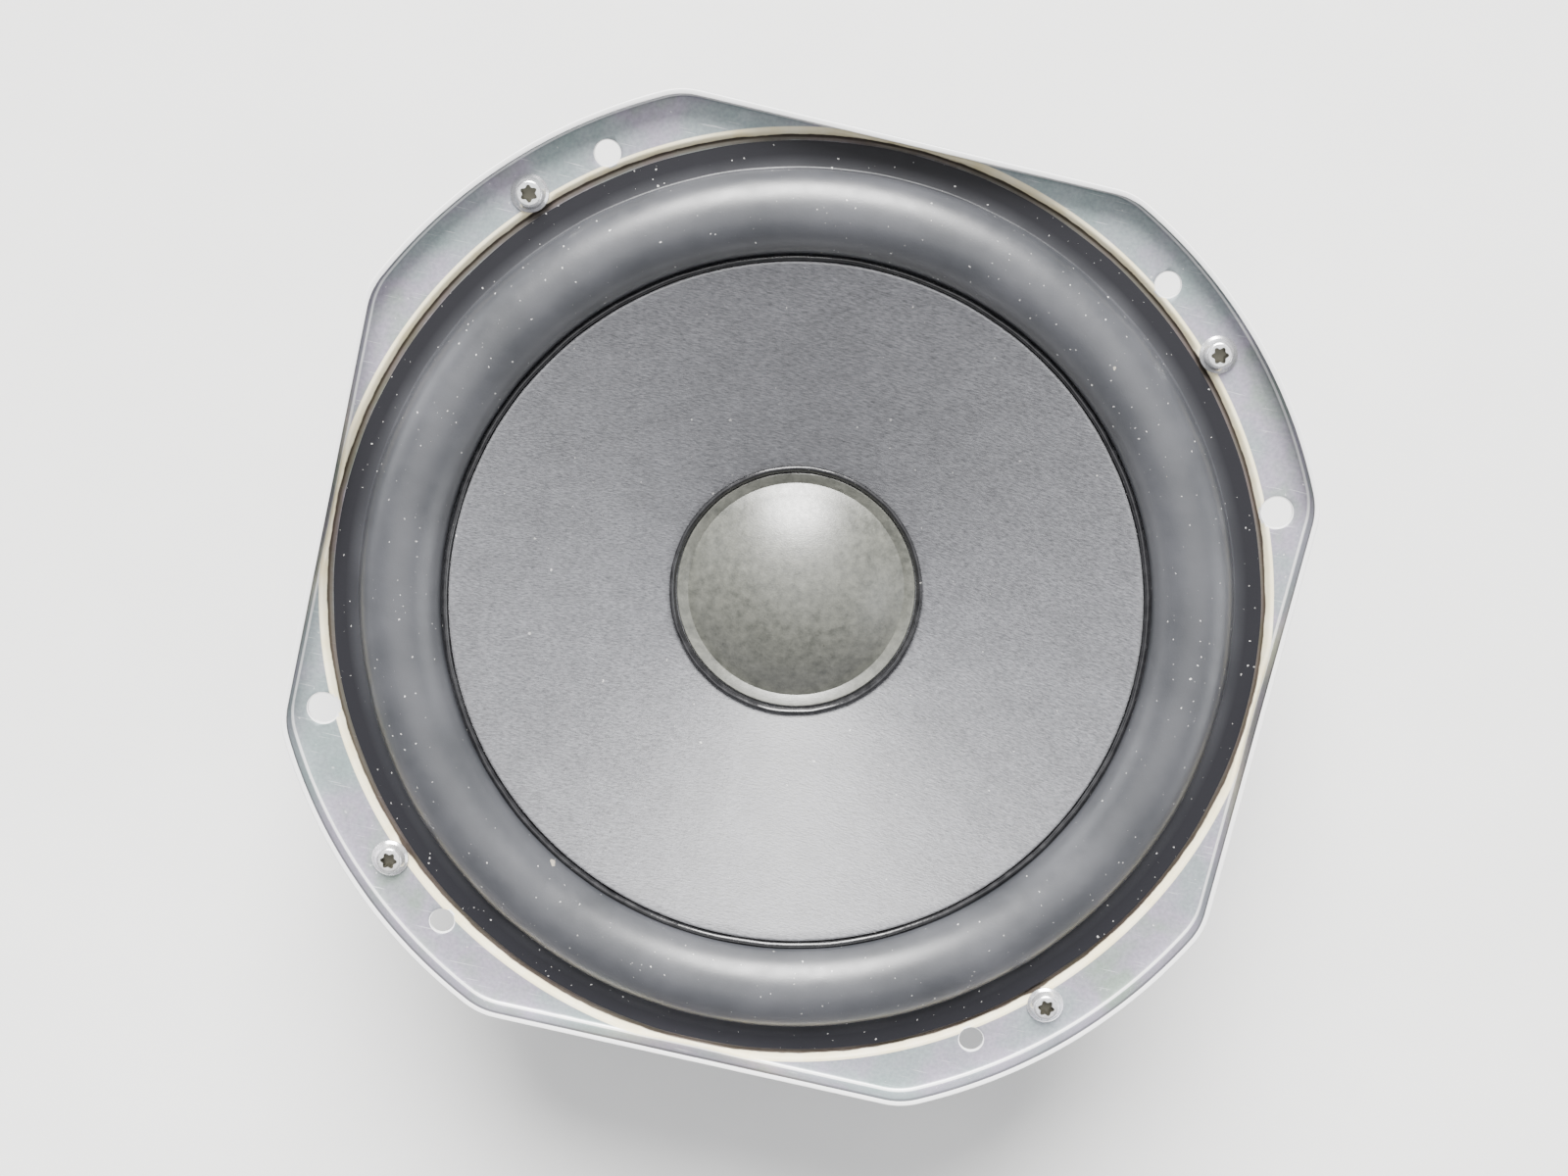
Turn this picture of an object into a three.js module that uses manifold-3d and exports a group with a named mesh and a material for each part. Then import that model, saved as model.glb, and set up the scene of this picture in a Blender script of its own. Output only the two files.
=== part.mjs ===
// A ten-inch car subwoofer: a paper cone driven by a voice coil in a pressed steel basket.
// Millimetres. +Z points out of the front of the cone, the axis is x = y = 0, and the back
// of the motor stands on z = 0. +X and +Y each point at the middle of a flat of the flange.

import * as THREE from 'three';
import { mergeVertices } from 'three/addons/utils/BufferGeometryUtils.js';
import Module from 'manifold-3d';

const wasm = await Module();
wasm.setup();

// ---- Clearances and facets ----
const FILM = 0.3; // glue film or air between two pieces that meet
const HOLE_CLEARANCE = 0.35; // on the radius, round a screw or a rivet
const TRAVEL = 9; // the cone moves this far forwards and backwards
const TRAVEL_MARGIN = 2; // left between the moving pieces and the basket at full travel
const RING_FACETS = 48; // round the basket, the surround and the cone
const MOTOR_FACETS = 36; // round the motor, the voice coil, the spider and the dust cap
const BORE_FACETS = 12; // round a hole, a screw or a rivet
const ARC_STEPS = 3; // half the chords of each arc of the flange

// ---- Motor ----
const BACK_THICKNESS = 7;
const MAGNET_HEIGHT = 18;
const MAGNET_PROUD = 4; // the magnet stands out past the plates
const MAGNET_CLEARANCE = 4.5; // between the winding and the magnet
const PLATE_RADIUS = 56; // of the back plate and of the top plate
const TOP_PLATE_THICKNESS = 7;
const EDGE_CHAMFER = 1.2;
const VENT_RADIUS = 8;
const VENT_FLARE = 3;

// ---- Voice coil ----
const FORMER_RADIUS = 25; // inside the former
const FORMER_WALL = 0.4;
const POLE_GAP = 0.6; // between the pole and the former
const WINDING_WALL = 1;
const WINDING_GAP = 0.9; // between the winding and the top plate
const WINDING_OVERHANG = 7; // past each face of the top plate
const FORMER_TAIL = 1; // former below the winding
const FORMER_HEAD = 0.5; // former above the neck of the cone
const COLLAR_WALL = 0.6;
const SLIP = 0.1; // between the layers wound on the former

// ---- Spider ----
const SPIDER_WALL = 0.6;
const SPIDER_NECK_WIDTH = 3.6; // flat round the collar
const SPIDER_WAVE_WIDTH = 34;
const SPIDER_RIM_WIDTH = 7; // flat glued to the shelf
const SPIDER_WAVES = 5;
const SPIDER_WAVE_HEIGHT = 2.2; // from the middle of the cloth to the top of a wave

// ---- Cone, dust cap and glue ----
const CONE_WALL = 1.5;
const CONE_EDGE_RADIUS = 83.4;
const CONE_SLOPE = Math.tan(THREE.MathUtils.degToRad(25.4));
const CONE_EDGE_DEPTH = 0.4; // edge of the cone below the face of the flange
const NECK_RISE = 10; // neck of the cone above the middle of the spider
const CAP_WALL = 0.8;
const CAP_FOOT_GAP = 0.3; // foot of the dome outside the neck of the cone
const CAP_RIM_WIDTH = 3;
const CAP_DOME_HEIGHT = 9;
const CAP_STEPS = 6;
const CAP_BEAD_WIDTH = 1.5;
const EDGE_BEAD_SPACE = 1.8; // between the edge of the cone and the roll
const BEAD_CROWN = 0.5; // a glue bead stands this far above what it joins

// ---- Surround ----
const RUBBER_WALL = 1.2;
const ROLL_WIDTH = 19.6;
const ROLL_HEIGHT = 8.2;
const ROLL_STEPS = 8;
const LANDING_WIDTH = 6.6;
const LANDING_CLEARANCE = 0.5; // between the landing and the step of the basket
const SURROUND_LIP = 7.5; // width glued under the cone

// ---- Basket ----
const SHEET = 1.2;
const BAND_WIDTH = 12.3; // from the step to the outside of a lobe
const FLAT_WIDTH = 0.6; // from the step to the outside of a flat
const CORNER_RADIUS = 18; // where a flat meets a lobe
const LIP_HEIGHT = 7.3; // above the face of the flange
const STEP_WIDTH = 2;
const STEP_DEPTH = 1.8;
const LEDGE_MARGIN = 0.6; // ledge inside the landing
const SHOULDER_WIDTH = 2.7;
const SHOULDER_DEPTH = 5;
const SHELF_MARGIN = 3; // shelf outside the spider
const SHELF_INSET = 0.5; // shelf inside the rim of the spider
const CUP_MARGIN = 2; // foot of the wall outside the top plate
const FLOOR_CLEARANCE = 7.5; // between the winding and the floor
const SPOKE_COUNT = 8;
const SPOKE_WIDTH = 13;
const WINDOW_MARGIN = 5; // from a window to the shelf, and to the shoulder
const WINDOW_STEPS = 6;

// ---- Holes and screws of the flange, all on one pitch circle ----
const SCREW_ANGLES = [45, 135, 225, 315];
const SPARE_ANGLES = [55, 125, 235, 305];
const LOCATING_ANGLES = [25, 205];
const SPARE_HOLE_RADIUS = 3;
const LOCATING_HOLE_RADIUS = 3.75;
const SEAT_MARGIN = 0.7; // flat pad outside the flange of a screw
const SEAT_REACH = 0.3; // the pad stands out past the foot of the step
const SCREW_RADIUS = 2.4;
const SCREW_LENGTH = 16;
const SCREW_POINT = 4;
const SCREW_FLANGE_RADIUS = 4.5;
const SCREW_FLANGE_HEIGHT = 0.8;
const SCREW_HEAD_RADIUS = 3.7;
const SCREW_HEAD_HEIGHT = 1.9; // above its flange
const SCREW_EDGE = 0.8;
const DRIVE_RADIUS = 1.97; // across the points of the six-lobed recess, halved
const DRIVE_LOBE = 0.28;
const DRIVE_DEPTH = 1.7;

// ---- Gasket ----
const GASKET_THICKNESS = 3;

// ---- Rivets of the basket ----
const FRAME_RIVET_ANGLES = [45, 135, 225, 315];
const FRAME_RIVET_RADIUS = 2.5;
const FRAME_RIVET_HEAD = 4.5;
const FRAME_RIVET_HEAD_HEIGHT = 1.8;

// ---- Terminal panel ----
const BOARD_HEIGHT = 16;
const BOARD_THICKNESS = 1.6;
const BOARD_END = 4; // board past the middle of a rivet
const APERTURE_MARGIN = 0.85; // aperture past a tab
const APERTURE_HEIGHT = 7;
const TAB_SPACING = 13;
const TAB_WIDTHS = { terminal_positive: 6.3, terminal_negative: 4.8 };
const TAB_THICKNESS = 0.8;
const TAB_FOOT = 5; // from the tang to the bend
const TAB_BLADE = 10;
const TAB_TANG = 4; // behind the wall of the basket
const BOARD_RIVET_SPACE = 3.5; // from the aperture to the middle of a rivet
const BOARD_RIVET_RADIUS = 1.4;
const BOARD_RIVET_HEAD = 2.5;
const BOARD_RIVET_HEAD_HEIGHT = 0.9;
const LEAD_RADIUS = 0.8;
const LEAD_SIDES = 8;
const LEAD_STEPS = 22;
const LEAD_STRAIGHT = 4; // straight out of a tang, and onto the collar
const LEAD_BOW = 5; // sideways slack of a lead
const LEAD_LANDING = 20; // degrees round the collar from the middle of the panel

// ---- Heights, from the back of the motor to the neck of the cone ----
const MAGNET_BOTTOM = BACK_THICKNESS + FILM;
const MAGNET_TOP = MAGNET_BOTTOM + MAGNET_HEIGHT;
const TOP_PLATE_BOTTOM = MAGNET_TOP + FILM;
const TOP_PLATE_TOP = TOP_PLATE_BOTTOM + TOP_PLATE_THICKNESS;
const FLOOR_FRONT = TOP_PLATE_TOP + FILM + SHEET;
const SPIDER_HEIGHT = FLOOR_FRONT + TRAVEL + SPIDER_WAVE_HEIGHT + TRAVEL_MARGIN;
const SHELF_HEIGHT = SPIDER_HEIGHT - SPIDER_WALL / 2 - FILM;
const WINDING_BOTTOM = TOP_PLATE_BOTTOM - WINDING_OVERHANG;
const WINDING_TOP = TOP_PLATE_TOP + WINDING_OVERHANG;
const NECK_HEIGHT = SPIDER_HEIGHT + NECK_RISE;

// ---- Radii, from the voice coil out to the spider ----
const FORMER_OUTSIDE = FORMER_RADIUS + FORMER_WALL;
const WINDING_RADIUS = FORMER_OUTSIDE + SLIP;
const WINDING_OUTSIDE = WINDING_RADIUS + WINDING_WALL;
const COLLAR_RADIUS = FORMER_OUTSIDE + SLIP;
const COLLAR_OUTSIDE = COLLAR_RADIUS + COLLAR_WALL;
const NECK_RADIUS = COLLAR_OUTSIDE + FILM;
const CAP_DOME_RADIUS = NECK_RADIUS + CAP_FOOT_GAP;
const CAP_RIM_RADIUS = CAP_DOME_RADIUS + CAP_RIM_WIDTH;
const SPIDER_WAVE_INNER = NECK_RADIUS + SPIDER_NECK_WIDTH;
const SPIDER_WAVE_OUTER = SPIDER_WAVE_INNER + SPIDER_WAVE_WIDTH;
const SPIDER_RIM_RADIUS = SPIDER_WAVE_OUTER + SPIDER_RIM_WIDTH;
const FLOOR_HOLE_RADIUS = WINDING_OUTSIDE + FLOOR_CLEARANCE;
const FRAME_RIVET_CIRCLE = (FLOOR_HOLE_RADIUS + PLATE_RADIUS) / 2;

// ---- Front of the cone, the flange and the ledge ----
const CONE_EDGE_HEIGHT = NECK_HEIGHT + (CONE_EDGE_RADIUS - NECK_RADIUS) * CONE_SLOPE;
const FLANGE_HEIGHT = CONE_EDGE_HEIGHT + CONE_EDGE_DEPTH;
const LEDGE_HEIGHT = FLANGE_HEIGHT - STEP_DEPTH;
const FLANGE_BACK = FLANGE_HEIGHT - SHEET;
const ALONG_CONE = Math.hypot(1, CONE_SLOPE); // vertical thickness of a sheet on the slope

const coneFront = (radius) => NECK_HEIGHT + (radius - NECK_RADIUS) * CONE_SLOPE;
const coneBack = (radius) => coneFront(radius) - CONE_WALL * ALONG_CONE;
const lipFront = (radius) => coneBack(radius) - FILM * ALONG_CONE;

// ---- Radii, from the edge of the cone out to the lobes ----
const ROLL_INNER_RADIUS = CONE_EDGE_RADIUS + EDGE_BEAD_SPACE;
const LANDING_INNER_RADIUS = ROLL_INNER_RADIUS + ROLL_WIDTH;
const LANDING_OUTER_RADIUS = LANDING_INNER_RADIUS + LANDING_WIDTH;
const STEP_INNER_RADIUS = LANDING_OUTER_RADIUS + LANDING_CLEARANCE;
const STEP_OUTER_RADIUS = STEP_INNER_RADIUS + STEP_WIDTH;
const LOBE_RADIUS = STEP_OUTER_RADIUS + BAND_WIDTH;
const FLAT_DISTANCE = STEP_OUTER_RADIUS + FLAT_WIDTH;
const SEAT_RADIUS = SCREW_FLANGE_RADIUS + SEAT_MARGIN;
const PITCH_RADIUS = STEP_INNER_RADIUS - SEAT_REACH + SEAT_RADIUS;

// ---- Wall of the basket, from the ledge down to the floor ----
const LEDGE_INNER_RADIUS = LANDING_INNER_RADIUS - LEDGE_MARGIN;
const SHOULDER_RADIUS = LEDGE_INNER_RADIUS - SHOULDER_WIDTH;
const SHOULDER_HEIGHT = LEDGE_HEIGHT - SHOULDER_DEPTH;
const SHELF_OUTER_RADIUS = SPIDER_RIM_RADIUS + SHELF_MARGIN;
const SHELF_INNER_RADIUS = SPIDER_WAVE_OUTER - SHELF_INSET;
const CUP_RADIUS = PLATE_RADIUS + CUP_MARGIN;
const WINDOW_OUTER_RADIUS = SHOULDER_RADIUS - WINDOW_MARGIN;
const WINDOW_INNER_RADIUS = SHELF_OUTER_RADIUS + WINDOW_MARGIN;

// ---- Widths of the terminal panel ----
const TAB_WIDEST = Math.max(...Object.values(TAB_WIDTHS));
const APERTURE_WIDTH = TAB_SPACING + TAB_WIDEST + 2 * APERTURE_MARGIN;
const BOARD_RIVET_X = APERTURE_WIDTH / 2 + BOARD_RIVET_SPACE;
const BOARD_WIDTH = 2 * (BOARD_RIVET_X + BOARD_END);

// ---- Finishes ----
const finish = (color, roughness, metalness) => ({ color, roughness, metalness });
const ZINC = finish(0xa9abae, 0.38, 1);
const BRIGHT_ZINC = finish(0xd4d6d8, 0.25, 1);
const PLATED_IRON = finish(0x8f9296, 0.42, 1);
const FERRITE = finish(0x2b2b2d, 0.7, 0.1);
const RUBBER = finish(0x3a3a3f, 0.55, 0);
const PAPER = finish(0x5b5c63, 0.85, 0);
const CAP_FIBRE = finish(0x6b6c5c, 0.45, 0);
const BLACK_GLUE = finish(0x0c0c0e, 0.2, 0);
const FORMER_FOIL = finish(0xb9a27a, 0.4, 0.3);
const COPPER = finish(0xb06a3a, 0.35, 1);
const KRAFT = finish(0x8a6a45, 0.8, 0);
const SPIDER_CLOTH = finish(0xb48a4e, 0.9, 0);
const PHENOLIC = finish(0x6a3f22, 0.6, 0);
const TINNED_BRASS = finish(0xcfc8b0, 0.3, 1);
const TINSEL = finish(0xc7a183, 0.6, 0.5);
const FOAM = finish(0x1c1c1e, 0.95, 0);

const speaker = new THREE.Group();

// ---- Making shapes ----

// Welds a geometry's shared vertices and drops the triangles that collapse at an axis.
function welded(geometry) {
  const bare = geometry.clone();
  bare.deleteAttribute('normal');
  bare.deleteAttribute('uv');
  const merged = mergeVertices(bare);
  const old = merged.index.array;
  const kept = [];
  for (let i = 0; i < old.length; i += 3) {
    const [a, b, c] = [old[i], old[i + 1], old[i + 2]];
    if (a !== b && b !== c && c !== a) kept.push(a, b, c);
  }
  merged.setIndex(kept);
  return merged;
}

function solidFrom(geometry) {
  const mesh = welded(geometry);
  const vertProperties = new Float32Array(mesh.attributes.position.array);
  const triVerts = new Uint32Array(mesh.index.array);
  return new wasm.Manifold(new wasm.Mesh({ numProp: 3, vertProperties, triVerts }));
}

function geometryFrom(solid) {
  const mesh = solid.getMesh();
  const geometry = new THREE.BufferGeometry();
  geometry.setAttribute('position', new THREE.BufferAttribute(mesh.vertProperties, 3));
  geometry.setIndex(new THREE.BufferAttribute(mesh.triVerts, 1));
  return geometry;
}

function joined(body, ...additions) {
  return geometryFrom(additions.reduce((solid, one) => solid.add(solidFrom(one)), solidFrom(body)));
}

function cut(body, ...cutters) {
  return geometryFrom(cutters.reduce((solid, one) => solid.subtract(solidFrom(one)), solidFrom(body)));
}

// A closed outline of [radius, height] points, turned about the Z axis.
function turned(outline, facets) {
  const points = outline.map(([radius, height]) => new THREE.Vector2(radius, height));
  if (THREE.ShapeUtils.area(points) < 0) points.reverse();
  if (outline[0][0] > 0) points.push(points[0].clone());
  return welded(new THREE.LatheGeometry(points, facets).rotateX(Math.PI / 2));
}

function ring(inner, outer, bottom, top, facets) {
  return turned([[inner, bottom], [outer, bottom], [outer, top], [inner, top]], facets);
}

// A ring whose two outer edges are chamfered.
function chamferedRing(inner, outer, bottom, top) {
  const c = EDGE_CHAMFER;
  const outside = [[outer - c, bottom], [outer, bottom + c], [outer, top - c], [outer - c, top]];
  return turned([[inner, bottom], ...outside, [inner, top]], MOTOR_FACETS);
}

// A bar along Z, used as a pin and to cut a hole.
function bar(radius, bottom, top, x = 0, y = 0) {
  const geometry = new THREE.CylinderGeometry(radius, radius, top - bottom, BORE_FACETS);
  return geometry.rotateX(Math.PI / 2).translate(x, y, (top + bottom) / 2);
}

// The outline of a sheet whose front runs from the rim towards the axis, with its back below.
function sheetOutline(front, thickness) {
  const points = front.map(([radius, height]) => new THREE.Vector2(radius, height));
  const normals = points.slice(1).map((point, i) => {
    const along = point.clone().sub(points[i]).normalize();
    return new THREE.Vector2(-along.y, along.x);
  });
  const back = points.map((point, i) => {
    const before = normals[Math.max(i - 1, 0)];
    const after = normals[Math.min(i, normals.length - 1)];
    const mitre = before.clone().add(after).normalize();
    return point.clone().addScaledVector(mitre, thickness / mitre.dot(after));
  });
  return [...front, ...back.reverse().map(({ x, y }) => [x, y])];
}

function onCircle(radius, degrees) {
  const angle = THREE.MathUtils.degToRad(degrees);
  return [radius * Math.cos(angle), radius * Math.sin(angle)];
}

function add(name, geometry, look, parent = speaker) {
  const mesh = new THREE.Mesh(geometry, new THREE.MeshStandardMaterial(look));
  mesh.name = name;
  parent.add(mesh);
  return mesh;
}

// ---- Basket ----

// Four lobes on one circle, cut by four flats, with round corners. An inset keeps it parallel.
function flangeShape(inset) {
  const lobe = LOBE_RADIUS - inset;
  const corner = CORNER_RADIUS - inset;
  const across = FLAT_DISTANCE - CORNER_RADIUS;
  const along = Math.sqrt((LOBE_RADIUS - CORNER_RADIUS) ** 2 - across ** 2);
  const lean = Math.atan2(along, across);
  const shape = new THREE.Shape();
  for (let quarter = 0; quarter < 4; quarter += 1) {
    const turn = (quarter * Math.PI) / 2;
    const square = turn + Math.PI / 2;
    const [cos, sin] = [Math.cos(turn), Math.sin(turn)];
    const first = [across * cos - along * sin, across * sin + along * cos];
    const second = [along * cos - across * sin, along * sin + across * cos];
    shape.absarc(first[0], first[1], corner, turn, turn + lean);
    shape.absarc(0, 0, lobe, turn + lean, square - lean);
    shape.absarc(second[0], second[1], corner, square - lean, square);
  }
  return shape;
}

function extruded(shape, bottom, top, curveSegments) {
  const depth = top - bottom;
  const geometry = new THREE.ExtrudeGeometry(shape, { depth, curveSegments, bevelEnabled: false });
  return geometry.translate(0, 0, bottom);
}

function flangeBand() {
  const [under, over] = [FLANGE_BACK - 1, FLANGE_HEIGHT + 1];
  const corners = [[0, under], [STEP_OUTER_RADIUS, under], [STEP_OUTER_RADIUS, over], [0, over]];
  const opening = turned(corners, RING_FACETS);
  return cut(extruded(flangeShape(0), FLANGE_BACK, FLANGE_HEIGHT, ARC_STEPS), opening);
}

function flangeLip() {
  const shape = flangeShape(0);
  shape.holes.push(flangeShape(SHEET));
  return extruded(shape, FLANGE_BACK, FLANGE_HEIGHT + LIP_HEIGHT, ARC_STEPS);
}

// The step, the ledge under the surround, the wall, the shelf under the spider and the floor.
function basketBowl() {
  const front = [
    [STEP_OUTER_RADIUS + FILM, FLANGE_HEIGHT],
    [STEP_OUTER_RADIUS, FLANGE_HEIGHT],
    [STEP_INNER_RADIUS, LEDGE_HEIGHT],
    [LEDGE_INNER_RADIUS, LEDGE_HEIGHT],
    [SHOULDER_RADIUS, SHOULDER_HEIGHT],
    [SHELF_OUTER_RADIUS, SHELF_HEIGHT],
    [SHELF_INNER_RADIUS, SHELF_HEIGHT],
    [CUP_RADIUS, FLOOR_FRONT],
    [FLOOR_HOLE_RADIUS, FLOOR_FRONT],
  ];
  return turned(sheetOutline(front, SHEET), RING_FACETS);
}

// A window between two spokes, as a block that cuts down through the wall.
function windowBlock(middle) {
  const edgeAngle = (radius) => Math.PI / SPOKE_COUNT - Math.asin(SPOKE_WIDTH / 2 / radius);
  const arc = (radius, from) => Array.from({ length: WINDOW_STEPS + 1 }, (_, i) => {
    const angle = middle + from * edgeAngle(radius) * (1 - (2 * i) / WINDOW_STEPS);
    return new THREE.Vector2(radius * Math.cos(angle), radius * Math.sin(angle));
  });
  const outline = [...arc(WINDOW_OUTER_RADIUS, -1), ...arc(WINDOW_INNER_RADIUS, 1)];
  return extruded(new THREE.Shape(outline), SHELF_HEIGHT - SHEET - 1, LEDGE_HEIGHT, 1);
}

function flangeHoles() {
  const holes = (angles, radius) => angles.map((angle) => {
    const [x, y] = onCircle(PITCH_RADIUS, angle);
    return bar(radius, FLANGE_BACK - 1, FLANGE_HEIGHT + 1, x, y);
  });
  return [
    ...holes(SCREW_ANGLES, SCREW_RADIUS + HOLE_CLEARANCE),
    ...holes(SPARE_ANGLES, SPARE_HOLE_RADIUS),
    ...holes(LOCATING_ANGLES, LOCATING_HOLE_RADIUS),
  ];
}

function basket() {
  const pads = SCREW_ANGLES.map((angle) => {
    const [x, y] = onCircle(PITCH_RADIUS, angle);
    return bar(SEAT_RADIUS, FLANGE_BACK, FLANGE_HEIGHT, x, y);
  });
  const windows = [];
  for (let spoke = 0; spoke < SPOKE_COUNT; spoke += 1) {
    const middle = (spoke * 2 * Math.PI) / SPOKE_COUNT;
    const behindPanel = Math.abs(middle - 1.5 * Math.PI) < Math.PI / SPOKE_COUNT;
    if (!behindPanel) windows.push(windowBlock(middle));
  }
  const rivetHoles = FRAME_RIVET_ANGLES.map((angle) => {
    const [x, y] = onCircle(FRAME_RIVET_CIRCLE, angle);
    return bar(FRAME_RIVET_RADIUS + HOLE_CLEARANCE, FLOOR_FRONT - SHEET - 1, FLOOR_FRONT + 1, x, y);
  });
  const pressed = joined(basketBowl(), flangeBand(), flangeLip(), ...pads);
  return cut(pressed, ...windows, ...rivetHoles, ...flangeHoles(), ...panelCutters());
}

// ---- Motor ----

function yoke() {
  const pole = FORMER_RADIUS - POLE_GAP;
  const c = EDGE_CHAMFER;
  const outline = [
    [VENT_RADIUS + VENT_FLARE, 0],
    [PLATE_RADIUS - c, 0],
    [PLATE_RADIUS, c],
    [PLATE_RADIUS, BACK_THICKNESS - c],
    [PLATE_RADIUS - c, BACK_THICKNESS],
    [pole, BACK_THICKNESS],
    [pole, TOP_PLATE_TOP - c],
    [pole - c, TOP_PLATE_TOP],
    [VENT_RADIUS, TOP_PLATE_TOP],
    [VENT_RADIUS, VENT_FLARE],
  ];
  return turned(outline, MOTOR_FACETS);
}

function topPlate() {
  const bore = WINDING_OUTSIDE + WINDING_GAP;
  const holes = FRAME_RIVET_ANGLES.map((angle) => {
    const [x, y] = onCircle(FRAME_RIVET_CIRCLE, angle);
    return bar(FRAME_RIVET_RADIUS + HOLE_CLEARANCE, TOP_PLATE_BOTTOM - 1, TOP_PLATE_TOP + 1, x, y);
  });
  return cut(chamferedRing(bore, PLATE_RADIUS, TOP_PLATE_BOTTOM, TOP_PLATE_TOP), ...holes);
}

// A round-headed pin: the shank runs down from the face that the head seats on.
function headedPin(shank, grip, head, headHeight) {
  const outline = [
    [0, -grip],
    [shank, -grip],
    [shank, FILM],
    [head, FILM],
    [head, FILM + headHeight * 0.4],
    [head * 0.6, FILM + headHeight],
    [0, FILM + headHeight],
  ];
  return turned(outline, BORE_FACETS);
}

function addMotor() {
  add('t_yoke', yoke(), PLATED_IRON);
  const magnetBore = WINDING_OUTSIDE + MAGNET_CLEARANCE;
  const magnetRadius = PLATE_RADIUS + MAGNET_PROUD;
  const magnet = chamferedRing(magnetBore, magnetRadius, MAGNET_BOTTOM, MAGNET_TOP);
  add('magnet', magnet, FERRITE);
  add('top_plate', topPlate(), PLATED_IRON);
  const grip = SHEET + TOP_PLATE_THICKNESS;
  FRAME_RIVET_ANGLES.forEach((angle, i) => {
    const pin = headedPin(FRAME_RIVET_RADIUS, grip, FRAME_RIVET_HEAD, FRAME_RIVET_HEAD_HEIGHT);
    const rivet = add(`frame_rivet_${i + 1}`, pin, BRIGHT_ZINC);
    rivet.position.set(...onCircle(FRAME_RIVET_CIRCLE, angle), FLOOR_FRONT);
  });
}

// ---- Voice coil and spider ----

function addVoiceCoil() {
  const tail = WINDING_BOTTOM - FORMER_TAIL;
  const head = NECK_HEIGHT + FORMER_HEAD;
  const collarBottom = WINDING_TOP + FILM;
  const former = ring(FORMER_RADIUS, FORMER_OUTSIDE, tail, head, MOTOR_FACETS);
  const winding = ring(WINDING_RADIUS, WINDING_OUTSIDE, WINDING_BOTTOM, WINDING_TOP, MOTOR_FACETS);
  const collar = ring(COLLAR_RADIUS, COLLAR_OUTSIDE, collarBottom, NECK_HEIGHT, MOTOR_FACETS);
  add('voice_coil_former', former, FORMER_FOIL);
  add('voice_coil_winding', winding, COPPER);
  add('former_collar', collar, KRAFT);
}

function spider() {
  const front = SPIDER_HEIGHT + SPIDER_WALL / 2;
  const pitch = (SPIDER_WAVE_OUTER - SPIDER_WAVE_INNER) / (2 * SPIDER_WAVES);
  const crest = SPIDER_WAVE_HEIGHT - SPIDER_WALL / 2;
  const outline = [[SPIDER_RIM_RADIUS, front], [SPIDER_WAVE_OUTER, front]];
  for (let half = 0; half < 2 * SPIDER_WAVES; half += 1) {
    const side = half % 2 === 0 ? 1 : -1;
    outline.push([SPIDER_WAVE_OUTER - (half + 0.5) * pitch, front + side * crest]);
  }
  outline.push([SPIDER_WAVE_INNER, front], [COLLAR_OUTSIDE + FILM, front]);
  return turned(sheetOutline(outline, SPIDER_WALL), MOTOR_FACETS);
}

// ---- Cone, dust cap, surround and glue ----

function cone() {
  const outline = [
    [CONE_EDGE_RADIUS, coneFront(CONE_EDGE_RADIUS)],
    [NECK_RADIUS, coneFront(NECK_RADIUS)],
    [NECK_RADIUS, coneBack(NECK_RADIUS)],
    [CONE_EDGE_RADIUS, coneBack(CONE_EDGE_RADIUS)],
  ];
  return turned(outline, RING_FACETS);
}

// A rim that lies on the cone, and a dome that is part of a sphere.
function dustCap() {
  const thickness = CAP_WALL * ALONG_CONE;
  const rimBottom = (radius) => coneFront(radius) + FILM * ALONG_CONE;
  const domeFoot = rimBottom(CAP_DOME_RADIUS) + thickness;
  const sphere = (CAP_DOME_RADIUS ** 2 + CAP_DOME_HEIGHT ** 2) / (2 * CAP_DOME_HEIGHT);
  const centre = domeFoot + CAP_DOME_HEIGHT - sphere;
  const arc = (radius, foot) => Array.from({ length: CAP_STEPS + 1 }, (_, i) => {
    const angle = Math.asin(foot / radius) * (1 - i / CAP_STEPS);
    return [radius * Math.sin(angle), centre + radius * Math.cos(angle)];
  });
  const outside = arc(sphere, CAP_DOME_RADIUS);
  const inside = arc(sphere - CAP_WALL, CAP_DOME_RADIUS - CAP_WALL);
  const rim = [
    [inside[0][0], rimBottom(inside[0][0])],
    [CAP_RIM_RADIUS, rimBottom(CAP_RIM_RADIUS)],
    [CAP_RIM_RADIUS, rimBottom(CAP_RIM_RADIUS) + thickness],
  ];
  return turned([...inside.reverse(), ...rim, ...outside], MOTOR_FACETS);
}

// A round-topped bead of glue between two radii, on a floor that slopes with the cone.
function bead(inner, outer, floorHeight, topHeight, facets) {
  const middle = (inner + outer) / 2;
  const outline = [
    [inner, floorHeight(inner)],
    [outer, floorHeight(outer)],
    [outer, topHeight(outer)],
    [middle, topHeight(middle) + BEAD_CROWN],
    [inner, topHeight(inner)],
  ];
  return turned(outline, facets);
}

function capBead() {
  const inner = CAP_RIM_RADIUS + FILM;
  const floorHeight = (radius) => coneFront(radius) + FILM * ALONG_CONE;
  const topHeight = (radius) => floorHeight(radius) + CAP_WALL * ALONG_CONE;
  return bead(inner, inner + CAP_BEAD_WIDTH, floorHeight, topHeight, MOTOR_FACETS);
}

function edgeBead() {
  const floorHeight = (radius) => lipFront(radius) + FILM * ALONG_CONE;
  const topHeight = () => CONE_EDGE_HEIGHT;
  const [inner, outer] = [CONE_EDGE_RADIUS + FILM, ROLL_INNER_RADIUS - FILM];
  return bead(inner, outer, floorHeight, topHeight, RING_FACETS);
}

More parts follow.
